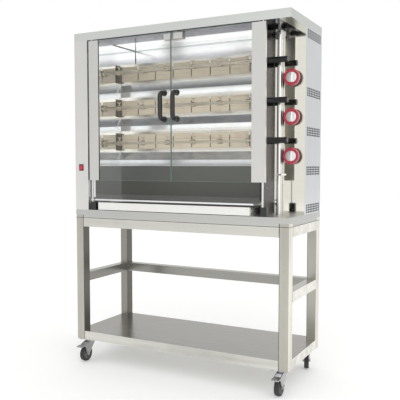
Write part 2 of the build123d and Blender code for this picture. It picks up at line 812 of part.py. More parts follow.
for side in ("left", "right"):
    hand = 1 if side == "left" else -1
    outer = x_door_left if side == "left" else x_door_right
    inner = door_split - hand * door_gap / 2
    stile_width = stile_width_left if side == "left" else stile_width_right
    pivot_x = outer + hand * pivot_inset
    core = 2 * pivot_inset
    glass_y0 = y_front + (door_thickness - glass_thickness) / 2
    handle_x = door_split + hand * -handle_offset

    with BuildPart() as stile:
        with BuildSketch(Plane.XY.offset(door_bottom)):
            with Locations((outer + hand * stile_width / 2, y_pivot)):
                Rectangle(stile_width, door_thickness)
            with Locations((outer + hand * (core + stile_width) / 2, y_pivot)):
                Rectangle(stile_width - core, glass_thickness, mode=Mode.SUBTRACT)
        extrude(amount=door_height)
        low_end = z_deck + block_height - bore_depth + pin_foot_gap
        rod((pivot_x, y_pivot, low_end), (0, 0, 1), pivot_radius, door_bottom - low_end)
        head_length = door_head_gap + upper_bore_depth - pin_head_gap
        rod((pivot_x, y_pivot, door_top), (0, 0, 1), pivot_radius, head_length)
    save(stile, f"{side}_door_stile")

    handle_top = door_top - handle_drop + handle_height
    handle_low = door_top - handle_drop
    with BuildPart() as glass:
        with BuildSketch(Plane.XZ.offset(-glass_y0)):
            x_core = outer + hand * core
            with Locations(((x_core + inner) / 2, (door_bottom + door_top) / 2)):
                Rectangle(abs(inner - x_core), door_height)
            with Locations((handle_x, handle_low + handle_radius), (handle_x, handle_top - handle_radius)):
                Circle(handle_hole, mode=Mode.SUBTRACT)
        extrude(amount=-glass_thickness)
    save(glass, f"{side}_door_glass")

    with BuildPart() as handle:
        bar_y = y_front - handle_reach + handle_radius
        with BuildLine():
            FilletPolyline(
                (handle_x, glass_y0, handle_low + handle_radius),
                (handle_x, bar_y, handle_low + handle_radius),
                (handle_x, bar_y, handle_top - handle_radius),
                (handle_x, glass_y0, handle_top - handle_radius),
                radius=handle_bend,
            )
        with BuildSketch(Plane((handle_x, glass_y0, handle_low + handle_radius), z_dir=(0, -1, 0))):
            Circle(handle_radius)
        sweep()
        for z in (handle_low + handle_radius, handle_top - handle_radius):
            rod((handle_x, glass_y0, z), (0, 1, 0), handle_bolt, glass_thickness)
            nut_start = (handle_x, glass_y0 + glass_thickness, z)
            rod(nut_start, (0, 1, 0), handle_nut_radius, handle_nut_length)
    save(handle, f"{side}_door_handle")

catch_left = 45.0
catch_right = 60.0
catch_drop = 38.0
catch_gap = 1.0
catch_depth = 30.0
pocket_offsets = (-22.0, 36.0)
pocket_half = 9.0
pocket_depth = 3.0
pocket_drop = (31.0, 23.0)
catch_x = (door_split - catch_left, door_split + catch_right)
catch_y = y_front + door_thickness + catch_gap
with BuildPart() as door_catch:
    slab(catch_x, (catch_y, catch_y + catch_depth), (z_roof - catch_drop, z_ceiling))
    for x in [door_split + offset for offset in pocket_offsets]:
        pocket_z = (z_roof - pocket_drop[0], z_roof - pocket_drop[1])
        slab((x - pocket_half, x + pocket_half), (catch_y, catch_y + pocket_depth), pocket_z, Mode.SUBTRACT)
save(door_catch, "door_catch")

# ---------------------------------------------------------------- spits
drive_inset = 58.0
drive_x = x_column - drive_inset
sprocket_thickness = 4.0
sprocket_radius = 30.0
teeth = 16
chain_gap = 1.0
chain_thickness = 7.0
tooth = (6.0, 4.0)
hub_reach = 8.0
hub_tail = 8.0
hub_flange_rise = 6.0
hub_flange_width = 5.0
rod_end_inset = 22.0
grip_edge = 3.0
fork_shift = 8.0
hub_end = x_wall_left + hub_reach
fork_slip = 0.2
fork_bar = 6.0
fork_bar_depth = 10.0
fork_hub_length = 20.0
prong_radius = 3.5
prong_length = 110.0
thumb_radius = 3.0
thumb_reach = 26.0
first_fork = (x_wall_left + x_wall_right) / 2 + fork_shift - fork_pitch * (fork_count - 1) / 2


def sprocket(x, y, z):
    """A chain sprocket about an axis along X, added to the part being built."""
    with BuildSketch(Plane.YZ.offset(x)) as blank:
        with Locations((y, z)):
            root_radius = sprocket_radius - tooth[0] / 2
            Circle(root_radius)
            with PolarLocations(root_radius, teeth):
                Rectangle(*tooth)
    extrude(blank.sketch, amount=sprocket_thickness)


# The forks are loose pieces on the square rod, each held by its thumb screw.
for number, level in enumerate(spit_levels, start=1):
    rod_end = x_wall_right - rod_end_inset
    spit_end = x_niche + grip_gap
    with BuildPart() as spit:
        for index in range(fork_count):
            x = first_fork + index * fork_pitch
            rod((x - fork_hub_length / 2, y_spit, level), (1, 0, 0), hub_radius, fork_hub_length)
            slab(
                (x - fork_bar / 2, x + fork_bar / 2),
                (y_spit - fork_radius, y_spit + fork_radius),
                (level - fork_bar_depth / 2, level + fork_bar_depth / 2),
            )
            for y in (y_spit - fork_radius + prong_radius, y_spit + fork_radius - prong_radius):
                rod((x - prong_length / 2, y, level), (1, 0, 0), prong_radius, prong_length)
            rod((x, y_spit, level), (0, 0, 1), thumb_radius, thumb_reach)
        bore = spit_side / 2 + fork_slip
        slab(
            (hub_end, rod_end),
            (y_spit - bore, y_spit + bore),
            (level - bore, level + bore),
            Mode.SUBTRACT,
        )
        hub_start = (drive_x - hub_tail, y_spit, level)
        rod(hub_start, (1, 0, 0), hub_radius, hub_end - drive_x + hub_tail)
        sprocket(drive_x, y_spit, level)
        rod((hub_end, y_spit, level), (1, 0, 0), hub_radius + hub_flange_rise, hub_flange_width)
        slab(
            (hub_end, rod_end),
            (y_spit - spit_side / 2, y_spit + spit_side / 2),
            (level - spit_side / 2, level + spit_side / 2),
        )
        rod((rod_end, y_spit, level), (1, 0, 0), journal_radius, spit_end - rod_end)
    save(spit, f"spit_{number}_rod")

    with BuildPart() as grip:
        rod((spit_end, y_spit, level), (1, 0, 0), grip_radius, grip_length)
        fillet(grip.edges(), radius=grip_edge)
    save(grip, f"spit_{number}_grip")

motor_rise = 60.0
bearing_radius = 22.0
bearing_length = 12.0
z_motor = z_deck + motor_rise
with BuildPart() as spit_bearings:
    bearing_bore = hub_radius + running
    bore_x = x_column - sheet - bearing_length - cut_margin
    for level in spit_levels:
        rod((x_column - sheet, y_spit, level), (-1, 0, 0), bearing_radius, bearing_length)
        bore_run = bearing_length + 2 * cut_margin
        rod((bore_x, y_spit, level), (1, 0, 0), bearing_bore, bore_run, Mode.SUBTRACT)
save(spit_bearings, "spit_bearings")

shaft_radius = 6.0
shaft_lead = 6.0
shaft_length = 34.0
motor_radius = 22.0
motor_length = 120.0
gearbox_gap = 10.0
gearbox_half = 32.0
gearbox_rear = 34.0
with BuildPart() as motor_sprocket:
    sprocket(drive_x, y_spit, z_motor)
    rod((drive_x - shaft_lead, y_spit, z_motor), (1, 0, 0), shaft_radius, shaft_length)
save(motor_sprocket, "motor_sprocket")

gearbox_x = (drive_x + gearbox_gap, x_column - sheet)
with BuildPart() as drive_motor:
    gearbox_y = (y_spit - gearbox_half, y_spit + gearbox_rear)
    slab(gearbox_x, gearbox_y, (z_motor - gearbox_half, z_motor + gearbox_half))
    motor_start = ((gearbox_x[0] + gearbox_x[1]) / 2, gearbox_y[1], z_motor)
    rod(motor_start, (0, 1, 0), motor_radius, motor_length)
    shaft_bore = shaft_radius + running
    rod((drive_x, y_spit, z_motor), (1, 0, 0), shaft_bore, shaft_length, Mode.SUBTRACT)
save(drive_motor, "drive_motor")

chain_side = 1.0
with BuildPart() as drive_chain:
    run = spit_levels[0] - z_motor
    loop_radius = sprocket_radius + chain_gap
    with BuildSketch(Plane.YZ.offset(drive_x - chain_side)):
        with Locations((y_spit, (spit_levels[0] + z_motor) / 2)):
            with Locations(Rotation(0, 0, 90)):
                SlotCenterToCenter(run, 2 * (loop_radius + chain_thickness))
                SlotCenterToCenter(run, 2 * loop_radius, mode=Mode.SUBTRACT)
    extrude(amount=sprocket_thickness + 2 * chain_side)
save(drive_chain, "drive_chain")

# ---------------------------------------------------------------- drip drawer
drawer_inset_left = 59.0
drawer_inset_right = 12.0
drawer_lift = 3.0
drawer_front_depth = 12.0
tray_inset = 12.0
tray_top_gap = 4.0
tray_rear_gap = 20.0
runner_height = 4.0
runner_reach = 14.0
runner_setback = 30.0
runner_rear_gap = 16.0
guide_drop = 8.0
drawer_x = (x_wall_left + drawer_inset_left, x_wall_right - drawer_inset_right)
drawer_z = (z_deck + drawer_lift, z_deck + drawer_lift + drawer_height)
tray_x = (drawer_x[0] + tray_inset, drawer_x[1] - tray_inset)
tray_z = (z_deck + runner_height + gap, z_deck + drawer_height - tray_top_gap)
tray_y = (y_front + drawer_front_depth, y_burner - tray_rear_gap)

with BuildPart() as drip_drawer_front:
    slab(drawer_x, (y_front, y_front + drawer_front_depth), drawer_z)
    slab(
        (drawer_x[0] + sheet, drawer_x[1] - sheet),
        (y_front + sheet, y_front + drawer_front_depth - sheet),
        (drawer_z[0] - cut_margin, drawer_z[1] - sheet),
        Mode.SUBTRACT,
    )
save(drip_drawer_front, "drip_drawer_front")

with BuildPart() as drip_drawer_tray:
    slab(tray_x, tray_y, tray_z)
    slab(
        (tray_x[0] + sheet, tray_x[1] - sheet),
        (tray_y[0] + sheet, tray_y[1] - sheet),
        (tray_z[0] + sheet, tray_z[1] + cut_margin),
        Mode.SUBTRACT,
    )
save(drip_drawer_tray, "drip_drawer_tray")

runner_y = (y_front + runner_setback, y_burner - runner_rear_gap)
with BuildPart() as drawer_runners:
    for edge, inward in ((tray_x[0], 1), (tray_x[1], -1)):
        x_in = edge + inward * runner_reach
        x_out = edge - inward * (gap + sheet)
        low, high = min(x_in, x_out), max(x_in, x_out)
        slab((low, high), runner_y, (z_deck, z_deck + runner_height))
        guide = edge - inward * gap
        low, high = min(guide, x_out), max(guide, x_out)
        slab((low, high), runner_y, (z_deck, tray_z[1] - guide_drop))
save(drawer_runners, "drawer_runners")

# ---------------------------------------------------------------- screws
screw_radius = 4.0
screw_head = 2.0
rear_screws = 5
rear_screw_inset = 20.0
rear_screw_margin = 14.0
niche_screw_setback = 26.0
niche_screw_rise = 126.0
niche_screw_drop = 43.0
rear_screw_pitch = (width - 2 * rear_screw_inset) / (rear_screws - 1)
with BuildPart() as panel_screws:
    for index in range(rear_screws):
        screw_x = x_left + rear_screw_inset + index * rear_screw_pitch
        for z in (z_deck + rear_screw_margin, z_roof - rear_screw_margin):
            rod((screw_x, y_rear, z), (0, 1, 0), screw_radius, screw_head)
    for z in (z_deck + niche_screw_rise, spit_levels[0] - niche_screw_drop):
        rod((x_niche, y_panel - niche_screw_setback, z), (1, 0, 0), screw_radius, screw_head)
save(panel_screws, "panel_screws")
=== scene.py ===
import json
import math
import random

import bmesh
import bpy
from mathutils import Matrix, Vector


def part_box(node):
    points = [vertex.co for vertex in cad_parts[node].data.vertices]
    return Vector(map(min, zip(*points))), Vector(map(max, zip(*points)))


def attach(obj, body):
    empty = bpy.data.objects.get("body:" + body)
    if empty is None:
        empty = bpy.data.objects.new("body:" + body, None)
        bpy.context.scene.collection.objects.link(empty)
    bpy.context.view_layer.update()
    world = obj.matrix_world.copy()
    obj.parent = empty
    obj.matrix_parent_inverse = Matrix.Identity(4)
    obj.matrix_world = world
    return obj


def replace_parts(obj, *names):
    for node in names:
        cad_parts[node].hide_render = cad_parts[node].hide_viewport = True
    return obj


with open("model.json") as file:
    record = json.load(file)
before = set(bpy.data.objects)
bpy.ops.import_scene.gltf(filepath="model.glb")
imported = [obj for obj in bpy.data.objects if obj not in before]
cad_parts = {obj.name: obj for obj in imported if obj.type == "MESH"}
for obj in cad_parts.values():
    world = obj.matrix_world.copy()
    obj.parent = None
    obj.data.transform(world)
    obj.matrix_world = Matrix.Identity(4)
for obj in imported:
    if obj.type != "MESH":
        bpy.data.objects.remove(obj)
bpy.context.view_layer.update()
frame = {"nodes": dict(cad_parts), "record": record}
nodes = frame["nodes"]
random.seed(7)

cameraSetup = {
    "place": (1.5214, -2.8382, 1.0556),
    "pitchDown": 3.27,
    "yaw": 27.74,
    "lens": 55.54,
    "sensor": 36.0,
    "farEnd": 60.0,
}


def makeCamera(setup):
    lensData = bpy.data.cameras.new("camera")
    lensData.lens = setup["lens"]
    lensData.sensor_width = setup["sensor"]
    lensData.clip_end = setup["farEnd"]
    camera = bpy.data.objects.new("camera", lensData)
    camera.location = setup["place"]
    tilt = math.radians(90.0 - setup["pitchDown"])
    camera.rotation_euler = (tilt, 0.0, math.radians(setup["yaw"]))
    bpy.context.scene.collection.objects.link(camera)
    bpy.context.scene.camera = camera


makeCamera(cameraSetup)
bpy.context.scene.view_settings.view_transform = "Standard"
print("camera placed")


class Wire:
    # wraps one socket, so shader maths reads as plain arithmetic
    def __init__(self, tree, socket):
        self.tree = tree
        self.socket = socket

    def worked(self, operation, first, second):
        made = self.tree.nodes.new("ShaderNodeMath")
        made.operation = operation
        for index, value in enumerate((first, second)):
            plugIn(self.tree, made.inputs[index], value)
        return Wire(self.tree, made.outputs[0])

    def __add__(self, other):
        return self.worked("ADD", self, other)

    def __radd__(self, other):
        return self.worked("ADD", other, self)

    def __sub__(self, other):
        return self.worked("SUBTRACT", self, other)

    def __rsub__(self, other):
        return self.worked("SUBTRACT", other, self)

    def __mul__(self, other):
        return self.worked("MULTIPLY", self, other)

    def __rmul__(self, other):
        return self.worked("MULTIPLY", other, self)

    def __truediv__(self, other):
        return self.worked("DIVIDE", self, other)

    def __mod__(self, other):
        return self.worked("FLOORED_MODULO", self, other)

    def __gt__(self, other):
        return self.worked("GREATER_THAN", self, other)

    def __lt__(self, other):
        return self.worked("LESS_THAN", self, other)

    def __abs__(self):
        return self.worked("ABSOLUTE", self, 0.0)

    def highest(self, other):
        return self.worked("MAXIMUM", self, other)


def plugIn(tree, socket, value):
    if isinstance(value, Wire):
        tree.links.new(value.socket, socket)
    elif isinstance(value, tuple) and len(value) == 3 and socket.type == "RGBA":
        socket.default_value = (*value, 1.0)
    else:
        socket.default_value = value


class Shading:
    # one node tree, with one method for any node
    def __init__(self, tree):
        self.tree = tree

    def node(self, kind, settings, inputs, output=0):
        made = self.tree.nodes.new(kind)
        for key, value in settings.items():
            setattr(made, key, value)
        for socket, value in inputs.items():
            plugIn(self.tree, made.inputs[socket], value)
        return Wire(self.tree, made.outputs[output])

    def place(self, kind="Object"):
        return self.node("ShaderNodeTexCoord", {}, {}, kind)

    def axes(self, kind="Object"):
        spread = self.tree.nodes.new("ShaderNodeSeparateXYZ")
        plugIn(self.tree, spread.inputs[0], self.place(kind))
        return [Wire(self.tree, spread.outputs[index]) for index in range(3)]

    def noise(self, stretch, scale, detail=3.0, rough=0.5):
        squeezed = self.node(
            "ShaderNodeVectorMath", {"operation": "MULTIPLY"}, {0: self.place(), 1: stretch}
        )
        return self.node(
            "ShaderNodeTexNoise",
            {},
            {"Vector": squeezed, "Scale": scale, "Detail": detail, "Roughness": rough},
        )

    def eased(self, value, low, high):
        # 0 below low, 1 above high, smooth between
        return self.node(
            "ShaderNodeMapRange",
            {"interpolation_type": "SMOOTHSTEP"},
            {"Value": value, "From Min": low, "From Max": high},
        )

    def mixed(self, mask, first, second):
        return self.node(
            "ShaderNodeMix", {"data_type": "RGBA"}, {0: mask, 6: first, 7: second}, 2
        )


def dimmed(tone, share):
    return tuple(channel * share for channel in tone)


class Finish(Shading):
    # one material and its shader
    def __init__(self, name, settings):
        self.material = bpy.data.materials.new(name)
        self.material.use_nodes = True
        super().__init__(self.material.node_tree)
        self.shader = self.tree.nodes["Principled BSDF"]
        self.give(settings)

    def give(self, settings):
        for socket, value in settings.items():
            plugIn(self.tree, self.shader.inputs[socket], value)

    def bump(self, height, strength, distance):
        raised = self.node(
            "ShaderNodeBump", {}, {"Strength": strength, "Distance": distance, "Height": height}
        )
        self.give({"Normal": raised})


white = (1.0, 1.0, 1.0)
evenStretch = (1.0, 1.0, 1.0)
grainStretch = {"x": (1.0, 90.0, 90.0), "z": (90.0, 90.0, 1.0)}
broadStretch = {"x": (0.5, 9.0, 9.0), "z": (9.0, 9.0, 0.5)}

steelDefaults = {
    "shade": 0.12,  # how far the wiping marks, which are partly painted reflection, darken the tone
    "streak": 0.14,  # how far the grain roughens
    "cloud": 0.14,
    "scratch": 0.06,
    "scratchOver": 0.74,
    "wipeFrom": 0.30,
    "wipeTo": 0.72,
    "wipe": 1.5,
    "smooth": 0.12,  # taken off the roughness, which the marks add back
    "grainTone": 0.86,
    "grainDepth": 0.12,
    "side": 1.0,  # painted light and shade: tone of the faces to the sides and of the upper faces
    "top": 1.0,
    "inner": 1.0,  # painted shade: tone of the faces that look inwards, with the share of it on each half
    "innerLeft": 0.0,
    "innerRight": 0.0,
    "inwardOver": 0.01,
    "facingOver": 0.5,  # how squarely a face has to look sideways or up
}


def sheetSteel(name, grain, tone, roughness, **changes):
    # rolled stainless: long fine grain, cloudy wiping marks that are partly painted reflection, a
    # few deeper scratches
    setup = {**steelDefaults, **changes}
    steel = Finish(name, {"Metallic": 1.0})
    lines = steel.noise(grainStretch[grain], 9.0, 4.0, 0.6)
    clouds = steel.noise(evenStretch, 4.5, 3.0)
    scratch = steel.noise(grainStretch[grain], 2.6, 1.0) > setup["scratchOver"]
    wide = steel.noise(broadStretch[grain], 2.6, 2.0)
    broad = steel.eased(wide, setup["wipeFrom"], setup["wipeTo"])
    # the broad wiping marks are real smudges and painted reflection together
    smudgeAndReflection = dimmed(tone, 1.0 - setup["shade"])
    brushed = steel.mixed(lines, dimmed(tone, setup["grainTone"]), tone)
    wipedAndReflected = steel.mixed(broad * clouds * setup["wipe"], brushed, smudgeAndReflection)
    placeX, placeY = steel.axes()[:2]
    faceX, faceY, faceZ = steel.axes("Normal")
    colour = wipedAndReflected
    facing, inwardOver = setup["facingOver"], setup["inwardOver"]
    # painted light and shade: faces that look sideways or up take a lighter or darker tone
    for key, mask in (("side", abs(faceX) > facing), ("top", faceZ > facing)):
        if setup[key] != 1.0:
            turned = dimmed(tone, setup[key])
            colour = steel.mixed(mask, colour, steel.mixed(broad * clouds, turned, smudgeAndReflection))
    if setup["inner"] != 1.0:
        # painted shade: faces that look in towards the middle of the oven are darker
        innerShade = dimmed(tone, setup["inner"])
        onLeft = (placeX < 0.0) * (setup["innerLeft"] - setup["innerRight"]) + setup["innerRight"]
        fromSide = placeX * faceX < -inwardOver
        fromFront = (placeY * faceY < -inwardOver) * onLeft
        colour = steel.mixed(fromSide.highest(fromFront), colour, innerShade)
    steel.give({"Base Color": colour})
    marks = lines * setup["streak"] + clouds * setup["cloud"] + scratch * setup["scratch"]
    steel.give({"Roughness": marks + (roughness - setup["smooth"])})
    steel.bump(lines, setup["grainDepth"], 0.0003)
    return steel.material


mirrorSetup = {"wipeTone": 0.93, "wipe": 0.06, "dust": 0.05, "dustOver": 0.70}


def mirrorSteel(name, tone, roughness, ripple, glow):
    # plain or polished sheet without grain: slow waves, wiping marks and fine dust; the glow is
    # painted light in the sheet's own tone
    steel = Finish(name, {"Metallic": 1.0, "Emission Color": tone, "Emission Strength": glow})
    waves = steel.noise(evenStretch, 4.0, 1.0)
    wipes = steel.noise((3.0, 3.0, 14.0), 5.0, 4.0)
    dust = steel.noise(evenStretch, 120.0, 2.0) > mirrorSetup["dustOver"]
    steel.give({"Base Color": steel.mixed(wipes, dimmed(tone, mirrorSetup["wipeTone"]), tone)})
    marks = wipes * mirrorSetup["wipe"] + dust * mirrorSetup["dust"]
    steel.give({"Roughness": marks + roughness})
    steel.bump(waves, ripple, 0.004)
    return steel.material


heatSetup = {
    "straw": (0.96, 0.86, 0.68),
    "strawShare": 0.8,
    "blue": (0.82, 0.88, 0.98),
    "blueShare": 0.25,
    "blueOver": 0.66,
    "cloud": 0.10,
}


def heatedSteel(name, tone, roughness):
    # steel near the flames: straw and faint blue tints in soft patches
    steel = Finish(name, {"Metallic": 1.0})
    patches = steel.noise((1.0, 1.0, 2.5), 7.0, 3.0)
    bloom = steel.noise((2.0, 1.0, 5.0), 11.0, 2.0)
    straw = tuple(channel * tint for channel, tint in zip(tone, heatSetup["straw"]))
    blue = tuple(channel * tint for channel, tint in zip(tone, heatSetup["blue"]))
    warm = steel.mixed(patches * heatSetup["strawShare"], tone, straw)
    tinted = (bloom > heatSetup["blueOver"]) * heatSetup["blueShare"]
    steel.give({"Base Color": steel.mixed(tinted, warm, blue)})
    steel.give({"Roughness": patches * heatSetup["cloud"] + roughness})
    steel.bump(bloom, 0.06, 0.002)
    return steel.material


reflectorSetup = {
    "wipe": 0.06,
    "wipeTone": 0.9,
    "overDim": (0.36, 0.375, 0.37),
    "overTone": (0.44, 0.455, 0.45),
}


def foldedSteel(name, tone, roughness, glow):
    # bright folded reflector with painted light: the faces that look down glow in the tone of the
    # sheet, the upper ones in a greyer one
    steel = Finish(name, {"Metallic": 1.0, "Emission Strength": glow})
    faceZ = steel.axes("Normal")[2]
    wipes = steel.noise((2.0, 2.0, 9.0), 4.0, 2.0)
    under = steel.mixed(wipes, dimmed(tone, reflectorSetup["wipeTone"]), tone)
    over = steel.mixed(wipes, reflectorSetup["overDim"], reflectorSetup["overTone"])
    steel.give({"Base Color": under})
    steel.give({"Emission Color": steel.mixed(faceZ > 0.0, under, over)})
    steel.give({"Roughness": wipes * reflectorSetup["wipe"] + roughness})
    return steel.material


plasticSetup = {"pale": 1.3, "paleLift": 0.012, "scuff": 0.16, "smooth": 0.06}


def castPlastic(name, tone, roughness, grainScale):
    # moulded plastic: fine spark texture and paler scuffs
    plastic = Finish(name, {"Specular IOR Level": 0.5})
    spark = plastic.noise(evenStretch, grainScale, 2.0)
    scuff = plastic.noise(evenStretch, 35.0, 4.0, 0.7)
    pale = tuple(channel * plasticSetup["pale"] + plasticSetup["paleLift"] for channel in tone)
    plastic.give({"Base Color": plastic.mixed(scuff, tone, pale)})
    marks = scuff * plasticSetup["scuff"]
    plastic.give({"Roughness": marks + (roughness - plasticSetup["smooth"])})
    plastic.bump(spark, 0.15, 0.0002)
    return plastic.material


rubberSetup = {"dustTone": (0.16, 0.15, 0.14), "dustShare": 0.35, "dust": 0.2, "roughness": 0.55}


def rubberTread(name, tone):
    # solid tyre: dull, with dust picked up in patches
    tyre = Finish(name, {"Specular IOR Level": 0.3})
    dust = tyre.noise(evenStretch, 60.0, 5.0, 0.7)
    dusty = tyre.mixed(dust * rubberSetup["dustShare"], tone, rubberSetup["dustTone"])
    tyre.give({"Base Color": dusty})
    tyre.give({"Roughness": dust * rubberSetup["dust"] + rubberSetup["roughness"]})
    tyre.bump(dust, 0.2, 0.0006)
    return tyre.material


brushedSheets = {
    # grain, tone, roughness, changes; side, top and inner in the changes are painted light and
    # shade
    "columnSteel": ("z", (0.82, 0.815, 0.79), 0.34, {"side": 0.74}),
    "rearSteel": ("z", (0.60, 0.60, 0.585), 0.34, {}),
    "plinthSteel": ("x", (0.60, 0.60, 0.575), 0.30, {}),
    "stileSteel": ("z", (0.735, 0.73, 0.705), 0.30, {"shade": 0.06}),
    "sideSteel": ("z", (0.80, 0.815, 0.835), 0.34, {}),
    "roofSteel": ("x", (0.755, 0.775, 0.75), 0.30, {}),
    "legSteel": (
        "z", (0.54, 0.525, 0.465), 0.28,
        {"shade": 0.20, "inner": 0.27, "innerLeft": 0.6, "innerRight": 0.08, "side": 1.62},
    ),
    "railSteel": ("x", (0.50, 0.495, 0.47), 0.26, {}),
    "drawerSteel": ("x", (0.96, 0.955, 0.93), 0.22, {"shade": 0.08}),
    "standSteel": (
        "x", (0.71, 0.705, 0.65), 0.24,
        {"shade": 0.18, "inner": 0.38, "innerLeft": 0.85, "innerRight": 0.85, "side": 1.2},
    ),
    "shelfSteel": (
        "x", (0.77, 0.76, 0.71), 0.28,
        {"shade": 0.34, "streak": 0.02, "side": 1.1, "top": 0.62, "grainDepth": 0.02},
    ),
    "pipeSteel": ("z", (0.80, 0.80, 0.79), 0.18, {}),
    "capSteel": ("x", (0.95, 0.94, 0.94), 0.30, {"shade": 0.06}),
    # pale pink silver of the knob rim: a painted highlight on the knob's outer edge
    "rimSilver": ("x", (0.86, 0.74, 0.77), 0.24, {}),
}
mirrorSheets = {
    # tone, roughness, ripple, glow; the glow is painted light
    "mirrorPanel": ((0.85, 0.83, 0.745), 0.03, 0.02, 0.0),
    # the chamber walls and floor glow faintly and the flue wall brightly: painted light
    "chamberSteel": ((0.86, 0.87, 0.875), 0.03, 0.015, 0.035),
    "flueSteel": ((0.98, 0.985, 0.99), 0.18, 0.0, 0.15),
    # the wall by the controls is near-black: painted shade
    "nicheSteel": ((0.060, 0.056, 0.062), 0.20, 0.04, 0.0),
    # the lower back panel is dark grey: painted dark reflection
    "darkSteel": ((0.165, 0.167, 0.152), 0.52, 0.0, 0.0),
    "zincSteel": ((0.52, 0.525, 0.535), 0.26, 0.04, 0.0),
}
heatedSheets = {
    # tone, roughness
    "housingSteel": ((0.80, 0.80, 0.785), 0.18),
    "spitSteel": ((0.62, 0.595, 0.53), 0.34),
    # dark steel for the strips at the burner ends and in the chamber corners: painted shade
    "sootSteel": ((0.17, 0.155, 0.135), 0.42),
}
mouldings = {
    # tone, roughness, scale of the spark texture
    "blackPlastic": ((0.010, 0.010, 0.011), 0.30, 900.0),
    "ringRed": ((0.40, 0.026, 0.050), 0.24, 900.0),
    "hubPlastic": ((0.10, 0.10, 0.105), 0.42, 900.0),
    "motorPaint": ((0.12, 0.13, 0.14), 0.45, 900.0),
    # near-black sheet behind the vent slots: painted shade
    "meshCloth": ((0.012, 0.012, 0.014), 0.7, 400.0),
}

finishes = {}
for finishName, (grain, tone, roughness, changes) in brushedSheets.items():
    finishes[finishName] = sheetSteel(finishName, grain, tone, roughness, **changes)
for makeFinish, table in (
    (mirrorSteel, mirrorSheets), (heatedSteel, heatedSheets), (castPlastic, mouldings)
):
    for finishName, values in table.items():
        finishes[finishName] = makeFinish(finishName, *values)
finishes["reflectorSteel"] = foldedSteel("reflectorSteel", (0.93, 0.94, 0.945), 0.14, 0.22)
finishes["wheelRubber"] = rubberTread("wheelRubber", (0.020, 0.020, 0.021))


brassSetup = {
    "pitch": 0.0018,
    "dim": (0.62, 0.46, 0.20),
    "tone": (0.74, 0.58, 0.28),
    "roughness": 0.25,
    "turned": 0.15,
}


def brassFinish(setup):
    # turned brass, with ridges across the inlet's length like those of its thread
    brass = Finish("valveBrass", {"Metallic": 1.0})
    deep = brass.axes()[1]
    turned = brass.noise((1.0, 40.0, 1.0), 30.0)
    pitch = setup["pitch"]
    ridge = abs(deep % pitch - pitch / 2) * (2 / pitch)
    brass.give({"Base Color": brass.mixed(turned, setup["dim"], setup["tone"])})
    brass.give({"Roughness": turned * setup["turned"] + setup["roughness"]})
    brass.bump(ridge, 0.5, 0.0008)
    return brass.material


glassSetup = {
    "tone": (0.72, 0.80, 0.78),
    "roughness": 0.02,
    "density": 1.52,
    "grazeDensity": 1.45,
    "graze": 0.25,
    "smear": 0.015,
}


def glassFinish(setup):
    # clear toughened pane: nearly clear face on, brighter at a grazing view
    pane = Finish("doorGlass", {"Base Color": setup["tone"], "Roughness": setup["roughness"]})
    pane.give({"IOR": setup["density"]})
    graze = pane.node("ShaderNodeFresnel", {}, {"IOR": setup["grazeDensity"]})
    smear = pane.noise(evenStretch, 5.0, 4.0)
    pane.give({"Alpha": graze * setup["graze"] + smear * setup["smear"]})
    pane.material.surface_render_method = "BLENDED"
    return pane.material


edgeSetup = {
    "density": 1.52,
    "deep": (0.09, 0.15, 0.125),
    "tone": (0.22, 0.31, 0.27),
    "roughness": 0.18,
    "ground": 0.25,
}


def glassEdgeFinish(setup):
    # the ground edge of the pane: green, in finely ground patches
    edge = Finish("glassEdge", {"IOR": setup["density"]})
    ground = edge.noise((1.0, 1.0, 6.0), 40.0, 3.0)
    edge.give({"Base Color": edge.mixed(ground, setup["deep"], setup["tone"])})
    edge.give({"Roughness": ground * setup["ground"] + setup["roughness"]})
    return edge.material


lensSetup = {
    "roughness": 0.16,
    "coatRoughness": 0.08,
    "glow": 0.18,
    "deep": (0.40, 0.010, 0.022),
    "tone": (0.62, 0.030, 0.050),
    "deepLight": (0.5, 0.01, 0.02),
    "light": (0.8, 0.05, 0.06),
}


def lensFinish(setup):
    # lit rocker lens: deep red, softly mottled
    lens = Finish("switchLens", {"Roughness": setup["roughness"]})
    lens.give({"Coat Roughness": setup["coatRoughness"], "Emission Strength": setup["glow"]})
    depth = lens.noise(evenStretch, 90.0, 2.0)
    lens.give({"Base Color": lens.mixed(depth, setup["deep"], setup["tone"])})
    lens.give({"Emission Color": lens.mixed(depth, setup["deepLight"], setup["light"])})
    return lens.material


ceramicSetup = {
    "foot": 1.143,
    "pitch": 0.1875,
    "height": 0.082,
    "jointFrom": -0.501,
    "jointPitch": 0.112,
    "jointHalf": 0.0026,
    "portScale": 300.0,
    "portOver": 0.22,
    "creases": ((0.64, 0.014, 1.0), (0.31, 0.010, 0.7)),  # level, half width, depth
    "clay": (0.82, 0.74, 0.57),
    "darkClay": (0.72, 0.62, 0.49),
    "stain": (0.66, 0.52, 0.42),
    "stainOver": 0.60,
    "stainShare": 0.35,
    # painted shade in the ports, the creases and the joints
    "portTone": (0.30, 0.24, 0.18),
    "portShare": 0.75,
    "creaseTone": (0.40, 0.34, 0.27),
    "creaseShare": 0.6,
    "jointTone": (0.10, 0.085, 0.065),
}


